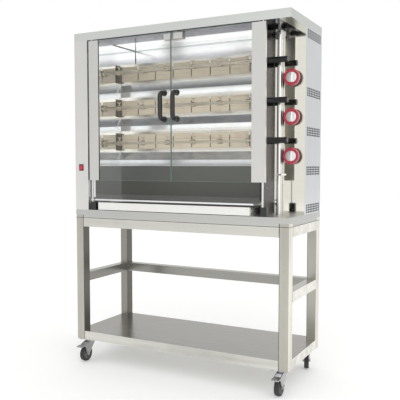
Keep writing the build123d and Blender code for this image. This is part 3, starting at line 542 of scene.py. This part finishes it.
def ceramicFinish(setup):
    # pressed fibre plaque: small flame ports in a cream face, creased along its length and
    # browned in patches; painted shade darkens the ports, the creases and the joint at each end
    plaque = Finish("burnerCeramic", {"Roughness": 0.9})
    across, up = plaque.axes()[::2]
    share = (up - setup["foot"]) % setup["pitch"] / setup["height"]
    patches = plaque.noise(evenStretch, 9.0, 4.0)
    stains = plaque.noise((2.0, 1.0, 7.0), 6.0, 3.0)
    cells = plaque.node(
        "ShaderNodeTexVoronoi",
        {},
        {"Vector": plaque.place(), "Scale": setup["portScale"], "Randomness": 0.1},
    )
    port = cells < setup["portOver"]
    upper, lower = [
        (abs(share - level) < width) * depth for level, width, depth in setup["creases"]
    ]
    crease = upper.highest(lower)
    half = setup["jointPitch"] / 2
    fromJoint = (across - (setup["jointFrom"] - half)) % setup["jointPitch"] - half
    joint = abs(fromJoint) < setup["jointHalf"]
    clay = plaque.mixed(patches, setup["clay"], setup["darkClay"])
    browned = (stains > setup["stainOver"]) * setup["stainShare"]
    toned = plaque.mixed(browned, clay, setup["stain"])
    holed = plaque.mixed(port * setup["portShare"], toned, setup["portTone"])
    creased = plaque.mixed(crease * setup["creaseShare"], holed, setup["creaseTone"])
    plaque.give({"Base Color": plaque.mixed(joint, creased, setup["jointTone"])})
    plaque.bump(cells, 0.4, 0.001)
    return plaque.material


ceilingSetup = {
    "smokeEdge": 0.006,
    "smokeSoft": 0.012,
    "brightTo": 0.075,
    "brightSoft": 0.06,
    "greyFrom": 0.19,
    "greyTo": 0.22,
    "glow": 0.15,
    "dim": (0.96, 0.965, 0.97),
    "bright": (0.995, 0.995, 0.995),
    "faded": (0.70, 0.745, 0.72),
    "fadedShare": 0.5,
    "grey": (0.55, 0.59, 0.63),
    "greyShare": 0.7,
    "smoke": (0.10, 0.096, 0.12),
    "niche": (0.06, 0.06, 0.065),
    "farLight": (0.40, 0.43, 0.42),
    "unlit": (0.04, 0.04, 0.05),
    "wipe": 0.06,
    "roughness": 0.13,
}


def ceilingFinish(setup):
    # ceiling sheet with painted reflections: a painted dark reflection along the doors, a painted
    # bright reflection over the spits, a greyer painted reflection to the rear, and painted shade
    # over the controls
    sheet = Finish("ceilingSteel", {"Metallic": 1.0})
    across, deep = sheet.axes()[:2]
    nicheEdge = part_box("control_panel")[0][0]
    wipes = sheet.noise((1.0, 6.0, 1.0), 5.0, 3.0)
    # painted reflection: dark along the doors, bright over the spits, greyer to the rear
    pastDarkReflection = sheet.eased(deep, setup["smokeEdge"] - setup["smokeSoft"], setup["smokeEdge"])
    bright = sheet.mixed(wipes, setup["dim"], setup["bright"])
    faded = sheet.eased(deep, setup["brightTo"], setup["brightTo"] + setup["brightSoft"])
    toned = sheet.mixed(faded * setup["fadedShare"], bright, setup["faded"])
    greyed = sheet.eased(deep, setup["greyFrom"], setup["greyTo"])
    greyReflected = sheet.mixed(greyed * setup["greyShare"], toned, setup["grey"])
    darkReflected = sheet.mixed(pastDarkReflection, setup["smoke"], greyReflected)
    # painted shade over the controls
    overNiche = across > nicheEdge
    sheet.give({"Base Color": sheet.mixed(overNiche, darkReflected, setup["niche"])})
    # the emission is painted light, held back under the dark reflection and over the controls
    lit = sheet.mixed(faded, white, setup["farLight"])
    unlit = (1.0 - pastDarkReflection).highest(overNiche)
    sheet.give({"Emission Color": sheet.mixed(unlit, lit, setup["unlit"])})
    sheet.give({"Emission Strength": setup["glow"]})
    sheet.give({"Roughness": wipes * setup["wipe"] + setup["roughness"]})
    return sheet.material


finishes["ceilingSteel"] = ceilingFinish(ceilingSetup)
finishes["valveBrass"] = brassFinish(brassSetup)
finishes["doorGlass"] = glassFinish(glassSetup)
finishes["glassEdge"] = glassEdgeFinish(edgeSetup)
finishes["switchLens"] = lensFinish(lensSetup)
finishes["burnerCeramic"] = ceramicFinish(ceramicSetup)

nodeFinish = {
    "roof_cover": "roofSteel",
    "base_plinth": "plinthSteel",
    "left_column_cover": "columnSteel",
    "right_side_panel": "sideSteel",
    "rear_cover": "rearSteel",
    "left_inner_wall": "chamberSteel",
    "right_inner_wall": "nicheSteel",
    "control_panel": "mirrorPanel",
    "chamber_back_wall": "flueSteel",
    "lower_back_panel": "darkSteel",
    "chamber_ceiling": "ceilingSteel",
    "chamber_floor": "chamberSteel",
    "burner_housings": "housingSteel",
    "burner_plaques": "burnerCeramic",
    "burner_reflectors": "reflectorSteel",
    "gas_manifold": "pipeSteel",
    "gas_valves": "valveBrass",
    "gas_inlet": "valveBrass",
    "door_pivot_blocks": "blackPlastic",
    "door_catch": "stileSteel",
    "switch_housing": "blackPlastic",
    "switch_rocker": "switchLens",
    "drive_motor": "motorPaint",
    "stand_legs": "legSteel",
    "stand_rails": "standSteel",
    "bottom_shelf": "shelfSteel",
    "drip_drawer_front": "drawerSteel",
    "drip_drawer_tray": "railSteel",
}


def finishFor(name):
    if name in nodeFinish:
        return finishes[nodeFinish[name]]
    if "glass" in name:
        return finishes["doorGlass"]
    if "stile" in name:
        return finishes["stileSteel"]
    if "handle" in name or "grip" in name or name.startswith("knob"):
        return finishes["blackPlastic"]
    if name.endswith("_wheel"):
        return finishes["wheelRubber"]
    if name.startswith("spit_") and name.endswith("_rod"):
        return finishes["spitSteel"]
    return finishes["zincSteel"]


for nodeName, nodeObject in nodes.items():
    nodeObject.data.materials.clear()
    nodeObject.data.materials.append(finishFor(nodeName))
print("finishes on", len(nodes), "nodes")


upward = (0.0, 0.0, 1.0)
downward = (0.0, 0.0, -1.0)
forward = (0.0, -1.0, 0.0)  # out of the oven's front
backward = (0.0, 1.0, 0.0)
leftward = (-1.0, 0.0, 0.0)
rightward = (1.0, 0.0, 0.0)


def spun(mesh, profile, place, axis, steps=48):
    # turns a profile of (radius, height) points round an axis that starts at a place
    turn = Vector(upward).rotation_difference(Vector(axis)).to_matrix().to_4x4()
    frameMove = Matrix.Translation(place) @ turn
    rings = []
    for step in range(steps):
        angle = 2.0 * math.pi * step / steps
        side = Vector((math.cos(angle), math.sin(angle), 0.0))
        rings.append([
            mesh.verts.new(frameMove @ (side * radius + Vector((0.0, 0.0, height))))
            for radius, height in profile
        ])
    for here, there in zip(rings, rings[1:] + rings[:1]):
        for index in range(len(profile) - 1):
            mesh.faces.new((here[index], there[index], there[index + 1], here[index + 1]))


def block(mesh, low, high):
    made = bmesh.ops.create_cube(mesh, size=1.0)
    low, high = Vector(low), Vector(high)
    for vert in made["verts"]:
        share = vert.co + Vector((0.5, 0.5, 0.5))
        vert.co = Vector([low[k] + (high[k] - low[k]) * share[k] for k in range(3)])


pieceSetup = {"weld": 1e-6, "sharpFrom": 38.0, "bevelSteps": 3}
edgeBevel, fineBevel, softBevel, roundBevel = 0.0002, 0.0003, 0.0004, 0.0009


def makePiece(name, mesh, finish, body, bevel=0.0):
    bmesh.ops.remove_doubles(mesh, verts=mesh.verts, dist=pieceSetup["weld"])
    bmesh.ops.recalc_face_normals(mesh, faces=mesh.faces)
    for face in mesh.faces:
        face.smooth = True
    data = bpy.data.meshes.new(name)
    mesh.to_mesh(data)
    mesh.free()
    data.set_sharp_from_angle(angle=math.radians(pieceSetup["sharpFrom"]))
    data.materials.append(finishes[finish])
    piece = bpy.data.objects.new(name, data)
    bpy.context.scene.collection.objects.link(piece)
    if bevel:
        soft = piece.modifiers.new("softEdge", "BEVEL")
        soft.width = bevel
        soft.segments = pieceSetup["bevelSteps"]
        soft.limit_method = "ANGLE"
    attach(piece, body)
    return piece


def closed(profile):
    # a hollow profile is joined back to its first point
    return profile + profile[:1]


def looseBoxes(name):
    # the box of each loose solid in a node, sorted by height, then across
    mesh = bmesh.new()
    mesh.from_mesh(nodes[name].data)
    bmesh.ops.remove_doubles(mesh, verts=mesh.verts, dist=1e-5)  # joins split corners
    waiting = set(mesh.verts)
    boxes = []
    while waiting:
        spread = [waiting.pop()]
        group = []
        while spread:
            vert = spread.pop()
            group.append(vert.co.copy())
            for edge in vert.link_edges:
                other = edge.other_vert(vert)
                if other in waiting:
                    waiting.remove(other)
                    spread.append(other)
        low = Vector([min(point[k] for point in group) for k in range(3)])
        high = Vector([max(point[k] for point in group) for k in range(3)])
        boxes.append((low, high))
    mesh.free()
    return sorted(boxes, key=lambda box: (round(box[0].z, 3), round(box[0].x, 3), box[0].y))


knobSetup = {
    "skirt": [(0.0, 0.002), (0.0320, 0.002), (0.0335, 0.0035), (0.0368, 0.0225), (0.0, 0.0225)],
    "ring": [
        (0.0262, 0.0236), (0.0385, 0.0236), (0.0394, 0.0250), (0.0395, 0.0300),
        (0.0388, 0.0325), (0.0370, 0.0338), (0.0300, 0.0342), (0.0275, 0.0330), (0.0262, 0.0300),
    ],
    "rim": [(0.0380, 0.0215), (0.0395, 0.0220), (0.0395, 0.0240), (0.0380, 0.0245)],
    "cap": [(0.0, 0.0240), (0.0260, 0.0240), (0.0262, 0.0325), (0.0240, 0.0350), (0.0, 0.0362)],
    "grip": {"halfWidth": 0.0045, "halfLength": 0.0215, "from": 0.0345, "to": 0.0418},
    "mark": {"halfWidth": 0.0011, "from": 0.006, "to": 0.0200, "height": 0.0420},
    "ribs": 36,
    "rib": [(0.0, 0.004), (0.0011, 0.005), (0.0013, 0.0190), (0.0, 0.0205)],
    "ribRing": 0.0350,
}


def makeKnob(number, setup):
    low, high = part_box(f"knob_{number}")
    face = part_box("control_panel")[0][1]
    place = Vector(((low[0] + high[0]) / 2, face, (low[2] + high[2]) / 2))
    body = f"knob_{number}"
    skirt = bmesh.new()
    spun(skirt, setup["skirt"], place, forward)
    for rib in range(setup["ribs"]):  # finger ribs round the skirt
        angle = 2.0 * math.pi * rib / setup["ribs"]
        aside = Vector((math.cos(angle), 0.0, math.sin(angle)))
        spun(skirt, setup["rib"], place + aside * setup["ribRing"], forward, steps=8)
    base = makePiece(f"{body}_skirt", skirt, "blackPlastic", body, softBevel)
    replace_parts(base, body)
    # the rim ring is a painted highlight round the red ring's edge
    for part, finish in (("ring", "ringRed"), ("rim", "rimSilver")):
        mesh = bmesh.new()
        spun(mesh, closed(setup[part]), place, forward, steps=64)
        makePiece(f"{body}_{part}", mesh, finish, body)
    cap = bmesh.new()
    spun(cap, setup["cap"], place, forward, steps=64)
    grip = setup["grip"]
    block(
        cap,
        place + Vector((-grip["halfWidth"], -grip["to"], -grip["halfLength"])),
        place + Vector((grip["halfWidth"], -grip["from"], grip["halfLength"])),
    )
    makePiece(f"{body}_cap", cap, "capSteel", body, roundBevel)
    mark = setup["mark"]
    line = bmesh.new()
    block(
        line,
        place + Vector((-mark["halfWidth"], -mark["height"], mark["from"])),
        place + Vector((mark["halfWidth"], -grip["from"], mark["to"])),
    )
    makePiece(f"{body}_mark", line, "blackPlastic", body, fineBevel)


for number in (1, 2, 3):
    makeKnob(number, knobSetup)
print("knobs made")

wheelSetup = {
    "tyre": [
        (0.0290, -0.0112), (0.0370, -0.0120), (0.0390, -0.0105), (0.0399, -0.0075), (0.0400, 0.0),
        (0.0399, 0.0075), (0.0390, 0.0105), (0.0370, 0.0120), (0.0290, 0.0112),
    ],
    "hub": [
        (0.0041, -0.0125), (0.0095, -0.0125), (0.0108, -0.0100), (0.0130, -0.0070),
        (0.0240, -0.0062), (0.0262, -0.0105), (0.0292, -0.0114), (0.0292, 0.0114),
        (0.0262, 0.0105), (0.0240, 0.0062), (0.0130, 0.0070), (0.0108, 0.0100),
        (0.0095, 0.0125), (0.0041, 0.0125),
    ],
    "spokes": 6,
    "spoke": [(0.0, 0.0), (0.0021, 0.0), (0.0021, 0.0140), (0.0, 0.0140)],
    "spokeAside": 0.0072,
    "spokeFrom": 0.011,
    "nut": [(0.0042, 0.0), (0.0070, 0.0), (0.0070, 0.0032), (0.0062, 0.0040), (0.0042, 0.0040)],
    "nutFrom": 0.0171,
}
hexSides = 6


def makeWheel(corner, setup):
    joints = {joint["name"]: joint for joint in frame["record"]["behaviour"]["joints"]}
    roll = joints[f"caster_{corner}_roll"]
    centre, axis = Vector(roll["pos_m"]), Vector(roll["axis"]).normalized()
    body = f"caster_{corner}_wheel"
    tyre = bmesh.new()
    spun(tyre, closed(setup["tyre"]), centre, axis, steps=72)
    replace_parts(makePiece(f"{body}_tyre", tyre, "wheelRubber", body), body)
    hub = bmesh.new()
    spun(hub, closed(setup["hub"]), centre, axis)
    across = axis.cross(Vector(upward)).normalized()
    for spoke in range(setup["spokes"]):  # raised ribs on both faces of the hub
        angle = 2.0 * math.pi * spoke / setup["spokes"]
        outward = across * math.cos(angle) + Vector((0.0, 0.0, math.sin(angle)))
        for face in (-1, 1):
            start = centre + axis * (face * setup["spokeAside"]) + outward * setup["spokeFrom"]
            spun(hub, setup["spoke"], start, outward, steps=10)
    makePiece(f"{body}_hub", hub, "hubPlastic", body, fineBevel)
    nuts = bmesh.new()
    for face in (-1, 1):
        start = centre + axis * (face * setup["nutFrom"])
        spun(nuts, closed(setup["nut"]), start, axis * face, steps=hexSides)
    makePiece(f"caster_{corner}_nuts", nuts, "zincSteel", f"caster_{corner}", fineBevel)


for corner in ("front_left", "front_right", "rear_left", "rear_right"):
    makeWheel(corner, wheelSetup)
print("wheels made")

boltSetup = {
    "spread": (0.034, 0.032),
    "head": [(0.0, 0.0), (0.0066, 0.0), (0.0066, 0.0036), (0.0058, 0.0046), (0.0, 0.0046)],
    "washer": [(0.0, 0.0), (0.0085, 0.0), (0.0085, 0.0010), (0.0, 0.0012)],
    "plateThick": 0.003,
    "headDrop": 0.001,
}


def makePlateBolts(setup):
    # four bolts under each caster's plate
    mesh = bmesh.new()
    drop = Vector((0.0, 0.0, setup["headDrop"]))
    for low, high in looseBoxes("caster_plates"):
        centre = (low + high) / 2
        for sideX in (-1, 1):
            for sideY in (-1, 1):
                place = Vector((
                    centre.x + sideX * setup["spread"][0],
                    centre.y + sideY * setup["spread"][1],
                    high.z - setup["plateThick"],
                ))
                spun(mesh, setup["washer"], place, downward, steps=20)
                spun(mesh, setup["head"], place - drop, downward, steps=hexSides)
    makePiece("caster_plate_bolts", mesh, "zincSteel", "frame")


makePlateBolts(boltSetup)

screwSetup = {
    "dome": [
        (0.0, 0.0), (0.0040, 0.0), (0.0040, 0.0006), (0.0033, 0.0015), (0.0018, 0.0020),
        (0.0, 0.0020),
    ],
    "crossLong": 0.0021,
    "crossShort": 0.00045,
    "crossHalfDeep": 0.0002,
    "crossHeight": 0.00206,
    "stileInset": 0.014,
    "stileShares": (0.30, 0.70),
}


def addScrew(domes, crossShades, place, facing, setup):
    # a domed head and a dark cross on it: painted shade for the cross pressed in it
    spun(domes, setup["dome"], place, facing, steps=24)
    facing = Vector(facing)
    aside = Vector(upward)
    other = facing.cross(aside)
    for long, short in ((aside, other), (other, aside)):
        reach = long * setup["crossLong"] + short * setup["crossShort"]
        reach += facing * setup["crossHalfDeep"]
        middle = Vector(place) + facing * setup["crossHeight"]
        low = Vector([min(middle[k] - abs(reach[k]), middle[k] + abs(reach[k])) for k in range(3)])
        high = middle * 2 - low
        block(crossShades, low, high)


def makeScrews(setup):
    domes, crossShades = bmesh.new(), bmesh.new()
    for low, high in looseBoxes("panel_screws"):
        centre, span = (low + high) / 2, high - low
        if span.x < span.y:
            addScrew(domes, crossShades, (low.x, centre.y, centre.z), rightward, setup)
        else:
            addScrew(domes, crossShades, (centre.x, low.y, centre.z), backward, setup)
    heads = makePiece("panel_screw_heads", domes, "zincSteel", "frame")
    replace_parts(heads, "panel_screws")
    makePiece("panel_screw_recesses", crossShades, "blackPlastic", "frame")
    for side in ("left", "right"):
        low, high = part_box(f"{side}_door_glass")
        stileLow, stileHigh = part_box(f"{side}_door_stile")
        domes, crossShades = bmesh.new(), bmesh.new()
        for height in (low[2] + setup["stileInset"], high[2] - setup["stileInset"]):
            for share in setup["stileShares"]:
                across = stileLow[0] + (stileHigh[0] - stileLow[0]) * share
                addScrew(domes, crossShades, (across, stileHigh[1], height), backward, setup)
        makePiece(f"{side}_stile_screws", domes, "zincSteel", f"{side}_door")
        makePiece(f"{side}_stile_recess_shades", crossShades, "blackPlastic", f"{side}_door")


makeScrews(screwSetup)
print("bolts and screws made")

paneSetup = {
    "edgeDeep": 0.0009,
    "edgeProud": 0.0002,
    "washer": 0.0150,
    "washerThick": 0.0022,
    "washerSlope": 0.0012,
}


def makePaneDetails(side, setup):
    body = f"{side}_door"
    low, high = (Vector(corner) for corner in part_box(f"{side}_door_glass"))
    proud, deep = setup["edgeProud"], setup["edgeDeep"]
    y0, y1 = low.y - proud, high.y + proud
    if side == "right":
        x0, x1 = low.x - proud, low.x + deep
    else:
        x0, x1 = high.x - deep, high.x + proud
    edges = bmesh.new()
    block(edges, (x0, y0, low.z), (x1, y1, high.z))
    for z0, z1 in ((low.z - proud, low.z + deep), (high.z - deep, high.z + proud)):
        block(edges, (low.x, y0, z0), (high.x, y1, z1))
    makePiece(f"{side}_glass_edge", edges, "glassEdge", body, edgeBevel)
    gripLow, gripHigh = (Vector(corner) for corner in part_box(f"{side}_door_handle"))
    radius = (gripHigh.x - gripLow.x) / 2
    wide, thick = setup["washer"], setup["washerThick"]
    ring = [
        (radius, 0.0), (wide, 0.0), (wide, thick / 2), (wide - setup["washerSlope"], thick),
        (radius, thick),
    ]
    washers = bmesh.new()
    for height in (gripLow.z + radius, gripHigh.z - radius):
        place = ((gripLow.x + gripHigh.x) / 2, low.y, height)
        spun(washers, closed(ring), place, forward, steps=40)
    makePiece(f"{side}_handle_washers", washers, "blackPlastic", body)


for side in ("left", "right"):
    makePaneDetails(side, paneSetup)
print("pane edges and washers made")

clipSetup = {
    "halfWidth": 0.0045,
    "thick": 0.0010,
    "sink": 0.0002,
    "reach": 0.016,
    "lowShare": 0.45,
    "overlap": 0.006,
    "studOut": 0.003,
    "studWidths": (0.0022, 0.0026),
    "studRises": (0.0020, 0.0030),
    "sameRow": 0.001,
}


def makeBurnerClips(setup):
    # flat clips over the joints between plaques, with a stud through each
    clips, studs = bmesh.new(), bmesh.new()
    boxes = looseBoxes("burner_plaques")
    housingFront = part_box("burner_housings")[0][1]
    front, back = housingFront - setup["thick"], housingFront + setup["sink"]
    half, overlap, out = setup["halfWidth"], setup["overlap"], setup["studOut"]
    rise, top = setup["studRises"]
    for (low, high), nextBox in zip(boxes, boxes[1:]):
        nextLow = nextBox[0]
        if abs(low.z - nextLow.z) > setup["sameRow"]:
            continue
        middle = (high.x + nextLow.x) / 2
        for z0, z1 in (
            (high.z - setup["reach"], high.z + overlap),
            (low.z - overlap, low.z + setup["reach"] * setup["lowShare"]),
        ):
            block(clips, (middle - half, front, z0), (middle + half, back, z1))
        for height, wide in zip((high.z + out, low.z - out), setup["studWidths"]):
            stud = [(0.0, 0.0), (wide, 0.0), (wide, rise), (wide * 0.6, top), (0.0, top)]
            spun(studs, stud, (middle, front, height), forward, steps=hexSides)
    makePiece("burner_clips", clips, "housingSteel", "frame", fineBevel)
    makePiece("burner_studs", studs, "zincSteel", "frame")


makeBurnerClips(clipSetup)
print("burner clips made")

spitSetup = {
    "prongRadius": 0.0035,
    "tip": [(0.0035, -0.002), (0.0035, 0.0), (0.0026, 0.006), (0.0012, 0.0112), (0.0, 0.0125)],
    "boss": [
        (0.0, 0.0), (0.0042, 0.0), (0.0048, 0.0015), (0.0048, 0.0055), (0.0040, 0.0070),
        (0.0, 0.0072),
    ],
    "bossSink": 0.003,
    "wing": [(0.0, 0.0), (0.0020, 0.0015), (0.0026, 0.008), (0.0018, 0.0125), (0.0, 0.0135)],
    "wingAside": 0.0015,
    "wingUp": 0.0032,
    "wingSlope": 0.35,
    "longestFork": 0.3,
}


def makeSpitDetails(number, setup):
    # round tips on the prongs, and a winged head on each fork's thumb screw
    body = f"spit_{number}"
    gripLow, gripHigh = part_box(f"{body}_grip")
    level = (gripLow[2] + gripHigh[2]) / 2
    tips, wings = bmesh.new(), bmesh.new()
    for low, high in looseBoxes(f"{body}_rod"):
        if high.x - low.x > setup["longestFork"]:
            continue  # the rod itself
        for y in (low.y + setup["prongRadius"], high.y - setup["prongRadius"]):
            spun(tips, setup["tip"], (high.x, y, level), rightward, steps=16)
            spun(tips, setup["tip"], (low.x, y, level), leftward, steps=16)
        middle = Vector(((low.x + high.x) / 2, (low.y + high.y) / 2, high.z - setup["bossSink"]))
        spun(wings, setup["boss"], middle, upward, steps=20)
        for way in (-1.0, 1.0):
            place = middle + Vector((way * setup["wingAside"], 0.0, setup["wingUp"]))
            spun(wings, setup["wing"], place, (way, 0.0, setup["wingSlope"]), steps=12)
    makePiece(f"{body}_prong_tips", tips, "spitSteel", body)
    makePiece(f"{body}_thumb_wings", wings, "spitSteel", body)


for number in (1, 2, 3):
    makeSpitDetails(number, spitSetup)
print("prong tips and thumb screws made")

ventSetup = {
    "levels": (1.676, 1.402, 1.2145, 1.027, 0.844),
    "halfHeight": 0.024,
    "sideMargins": (0.020, 0.012),
    "setBack": 0.0003,
    "thick": 0.0010,
}


def makeVentShade(setup):
    # dark sheet behind each group of slots: painted shade inside the vents
    low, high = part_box("right_side_panel")
    mesh = bmesh.new()
    x = high[0] - setup["setBack"]
    for level in setup["levels"]:
        block(
            mesh,
            (x - setup["thick"], low[1] + setup["sideMargins"][0], level - setup["halfHeight"]),
            (x, high[1] - setup["sideMargins"][1], level + setup["halfHeight"]),
        )
    makePiece("vent_mesh", mesh, "meshCloth", "frame", fineBevel)


makeVentShade(ventSetup)

seamSetup = {"back": 0.204, "wide": 0.004, "drop": 0.0010, "sink": 0.0002}
plinthShadeSetup = {"half": 0.0011, "out": 0.0003, "thick": 0.001}
headSetup = {"drop": 0.0036, "sink": 0.0004, "deep": (0.002, 0.012), "ends": 0.020}
endShadeSetup = {"deep": 0.040, "thick": 0.0010, "sink": 0.0002, "ends": 0.004}
cornerSetup = {"bead": 0.0032, "slim": 0.6, "backSheet": 0.0015}
foldSetup = {
    "deep": 0.0035,
    "gap": 0.0125,
    "gripHalf": 0.014,
    "thick": 0.0018,
    "out": 0.0016,
    "front": 0.0008,
}
wallGap = 0.003  # from the left wall's face to the burner housings


def makeCeilingSeam(setup):
    # the joint strip across the ceiling
    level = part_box("chamber_ceiling")[0][2]
    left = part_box("burner_housings")[0][0]
    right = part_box("right_inner_wall")[0][0]
    mesh = bmesh.new()
    block(
        mesh,
        (left, setup["back"], level - setup["drop"]),
        (right, setup["back"] + setup["wide"], level + setup["sink"]),
    )
    makePiece("ceiling_seam", mesh, "zincSteel", "frame", fineBevel)


def makePlinthShadeLine(setup):
    # the dark line round the joint between the oven and its stand: painted shadow in the gap
    low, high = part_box("base_plinth")
    half, out, thick = setup["half"], setup["out"], setup["thick"]
    mesh = bmesh.new()
    for x0, y0, x1, y1 in (
        (low[0], low[1] - out, high[0], low[1] + thick),
        (low[0], high[1] - thick, high[0], high[1] + out),
        (low[0], low[1], low[0] + thick, high[1]),
        (high[0] - thick, low[1], high[0], high[1]),
    ):
        block(mesh, (x0, y0, low[2] - half), (x1, y1, low[2] + half))
    makePiece("plinth_seal", mesh, "blackPlastic", "frame")


def makeHeadShadeStrip(setup):
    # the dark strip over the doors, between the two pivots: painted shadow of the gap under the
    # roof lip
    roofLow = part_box("roof_cover")[0]
    pivots = [
        joint["pos_m"][0]
        for joint in frame["record"]["behaviour"]["joints"]
        if joint["name"].endswith("door_hinge")
    ]
    y0, y1 = [roofLow[1] + deep for deep in setup["deep"]]
    mesh = bmesh.new()
    block(
        mesh,
        (min(pivots) + setup["ends"], y0, roofLow[2] - setup["drop"]),
        (max(pivots) - setup["ends"], y1, roofLow[2] + setup["sink"]),
    )
    makePiece("door_head_strip", mesh, "blackPlastic", "frame", fineBevel)


def makeEndShades(setup):
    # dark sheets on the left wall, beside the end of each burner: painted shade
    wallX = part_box("burner_housings")[0][0] - wallGap
    mesh = bmesh.new()
    for low, high in looseBoxes("burner_housings"):
        block(
            mesh,
            (wallX - setup["sink"], low.y - setup["deep"], low.z + setup["ends"]),
            (wallX + setup["thick"], low.y, high.z - setup["ends"]),
        )
    makePiece("burner_end_shields", mesh, "sootSteel", "frame", softBevel)


def makeCornerShades(setup):
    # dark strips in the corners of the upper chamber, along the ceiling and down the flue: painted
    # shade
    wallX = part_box("burner_housings")[0][0] - wallGap
    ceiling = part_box("chamber_ceiling")[0][2]
    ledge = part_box("burner_housings")[1][2]
    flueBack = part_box("chamber_back_wall")[1][1] - setup["backSheet"]
    bead = setup["bead"]
    mesh = bmesh.new()
    block(mesh, (wallX, 0.0, ceiling - bead), (wallX + bead, flueBack, ceiling))
    block(mesh, (wallX, flueBack - bead, ledge), (wallX + bead * setup["slim"], flueBack, ceiling))
    makePiece("chamber_corner_seals", mesh, "sootSteel", "frame", softBevel)


def makeWallFolds(setup):
    # the bright folded edge of the wall by the controls, broken where the spits pass
    low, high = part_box("right_inner_wall")
    ends = [low[2]]
    for level in sorted(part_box(f"spit_{n}_grip")[0][2] + setup["gripHalf"] for n in (1, 2, 3)):
        ends += [level - setup["gap"], level + setup["gap"]]
    ends.append(high[2])
    mesh = bmesh.new()
    for z0, z1 in zip(ends[::2], ends[1::2]):
        block(
            mesh,
            (high[0] - setup["thick"], low[1] - setup["front"], z0),
            (high[0] + setup["out"], low[1] + setup["deep"], z1),
        )
    makePiece("wall_edge_folds", mesh, "pipeSteel", "frame", softBevel)


makeCeilingSeam(seamSetup)
makePlinthShadeLine(plinthShadeSetup)
makeHeadShadeStrip(headSetup)
makeEndShades(endShadeSetup)
makeCornerShades(cornerSetup)
makeWallFolds(foldSetup)
print("vent mesh and trim made")

weldSetup = {"radius": 0.0017, "step": 0.0030, "jitter": 0.0002}


def addBead(mesh, start, end, setup):
    # overlapping puddles along a joint
    start, end = Vector(start), Vector(end)
    count = max(2, int((end - start).length / setup["step"]))
    astray = setup["jitter"]
    for index in range(count + 1):
        jitter = Vector([random.uniform(-astray, astray) for _ in range(3)])
        made = bmesh.ops.create_icosphere(mesh, subdivisions=1, radius=setup["radius"])
        for vert in made["verts"]:
            vert.co = vert.co + start.lerp(end, index / count) + jitter


def makeWelds(setup):
    # a bead up the outer face and along the underside at both ends of each rail
    mesh = bmesh.new()
    for low, high in looseBoxes("stand_rails"):
        alongX = high.x - low.x > high.y - low.y
        outer = low.y if alongX and low.y < 0 else high.y
        for end in (0, 1):
            if alongX:
                x = (low, high)[end].x
                addBead(mesh, (x, outer, low.z), (x, outer, high.z), setup)
                addBead(mesh, (x, low.y, low.z), (x, high.y, low.z), setup)
            else:
                y = (low, high)[end].y
                side = low.x if low.x < 0 else high.x
                addBead(mesh, (side, y, low.z), (side, y, high.z), setup)
                addBead(mesh, (low.x, y, low.z), (high.x, y, low.z), setup)
    # the beads are kept inside the legs' outer faces
    legLow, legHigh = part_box("stand_legs")
    for vert in mesh.verts:
        for k in (0, 1):
            vert.co[k] = min(max(vert.co[k], legLow[k]), legHigh[k])
    makePiece("stand_welds", mesh, "zincSteel", "frame")


makeWelds(weldSetup)
print("welds made")

floorSetup = {"radius": 14.0, "drop": 0.0005, "tone": (0.93, 0.93, 0.925), "lift": 0.20}
skySetup = {
    "darkSide": -0.95,
    "lightSide": 0.10,
    "shade": 0.74,
    "behindFrom": 0.1,
    "behindTo": 0.9,
    "behind": 0.80,
}
lampSetup = {
    "place": (2.3, -3.2, 2.4),
    "aim": (0.0, 0.0, 1.1),
    "size": (3.8, 3.8),
    "power": 28.0,
}


def makeFloor(setup):
    mesh = bmesh.new()
    bmesh.ops.create_circle(mesh, cap_ends=True, segments=96, radius=setup["radius"])
    data = bpy.data.meshes.new("floor")
    mesh.to_mesh(data)
    mesh.free()
    floor = bpy.data.objects.new("floor", data)
    floor.location.z = -setup["drop"]
    bpy.context.scene.collection.objects.link(floor)
    paint = Finish("floorPaint", {"Base Color": setup["tone"], "Roughness": 0.7})
    paint.give({"Emission Color": white, "Emission Strength": setup["lift"]})
    data.materials.append(paint.material)


def makeSky(setup):
    # white to the eye; what the steel mirrors is a little darker to the left and behind
    world = bpy.data.worlds.new("studio")
    world.use_nodes = True
    sky = Shading(world.node_tree)
    across, deep = sky.axes("Generated")[:2]
    side = sky.eased(across, setup["darkSide"], setup["lightSide"])
    rear = sky.eased(deep, setup["behindFrom"], setup["behindTo"])
    mirrored = side * (1.0 - setup["shade"]) + setup["shade"]
    mirrored = mirrored * (1.0 - rear * (1.0 - setup["behind"]))
    seen = sky.node("ShaderNodeLightPath", {}, {}, "Is Camera Ray")
    strength = mirrored.highest(seen)
    background = world.node_tree.nodes["Background"]
    plugIn(world.node_tree, background.inputs[0], white)
    plugIn(world.node_tree, background.inputs[1], strength)
    bpy.context.scene.world = world


def makeLamp(name, setup):
    data = bpy.data.lights.new(name, "AREA")
    data.shape = "RECTANGLE"
    data.size, data.size_y = setup["size"]
    data.energy = setup["power"]
    lamp = bpy.data.objects.new(name, data)
    lamp.location = setup["place"]
    aim = Vector(setup["aim"]) - Vector(setup["place"])
    lamp.rotation_euler = aim.to_track_quat("-Z", "Y").to_euler()
    bpy.context.scene.collection.objects.link(lamp)


makeFloor(floorSetup)
makeSky(skySetup)
makeLamp("frontLamp", lampSetup)
print("stage set")
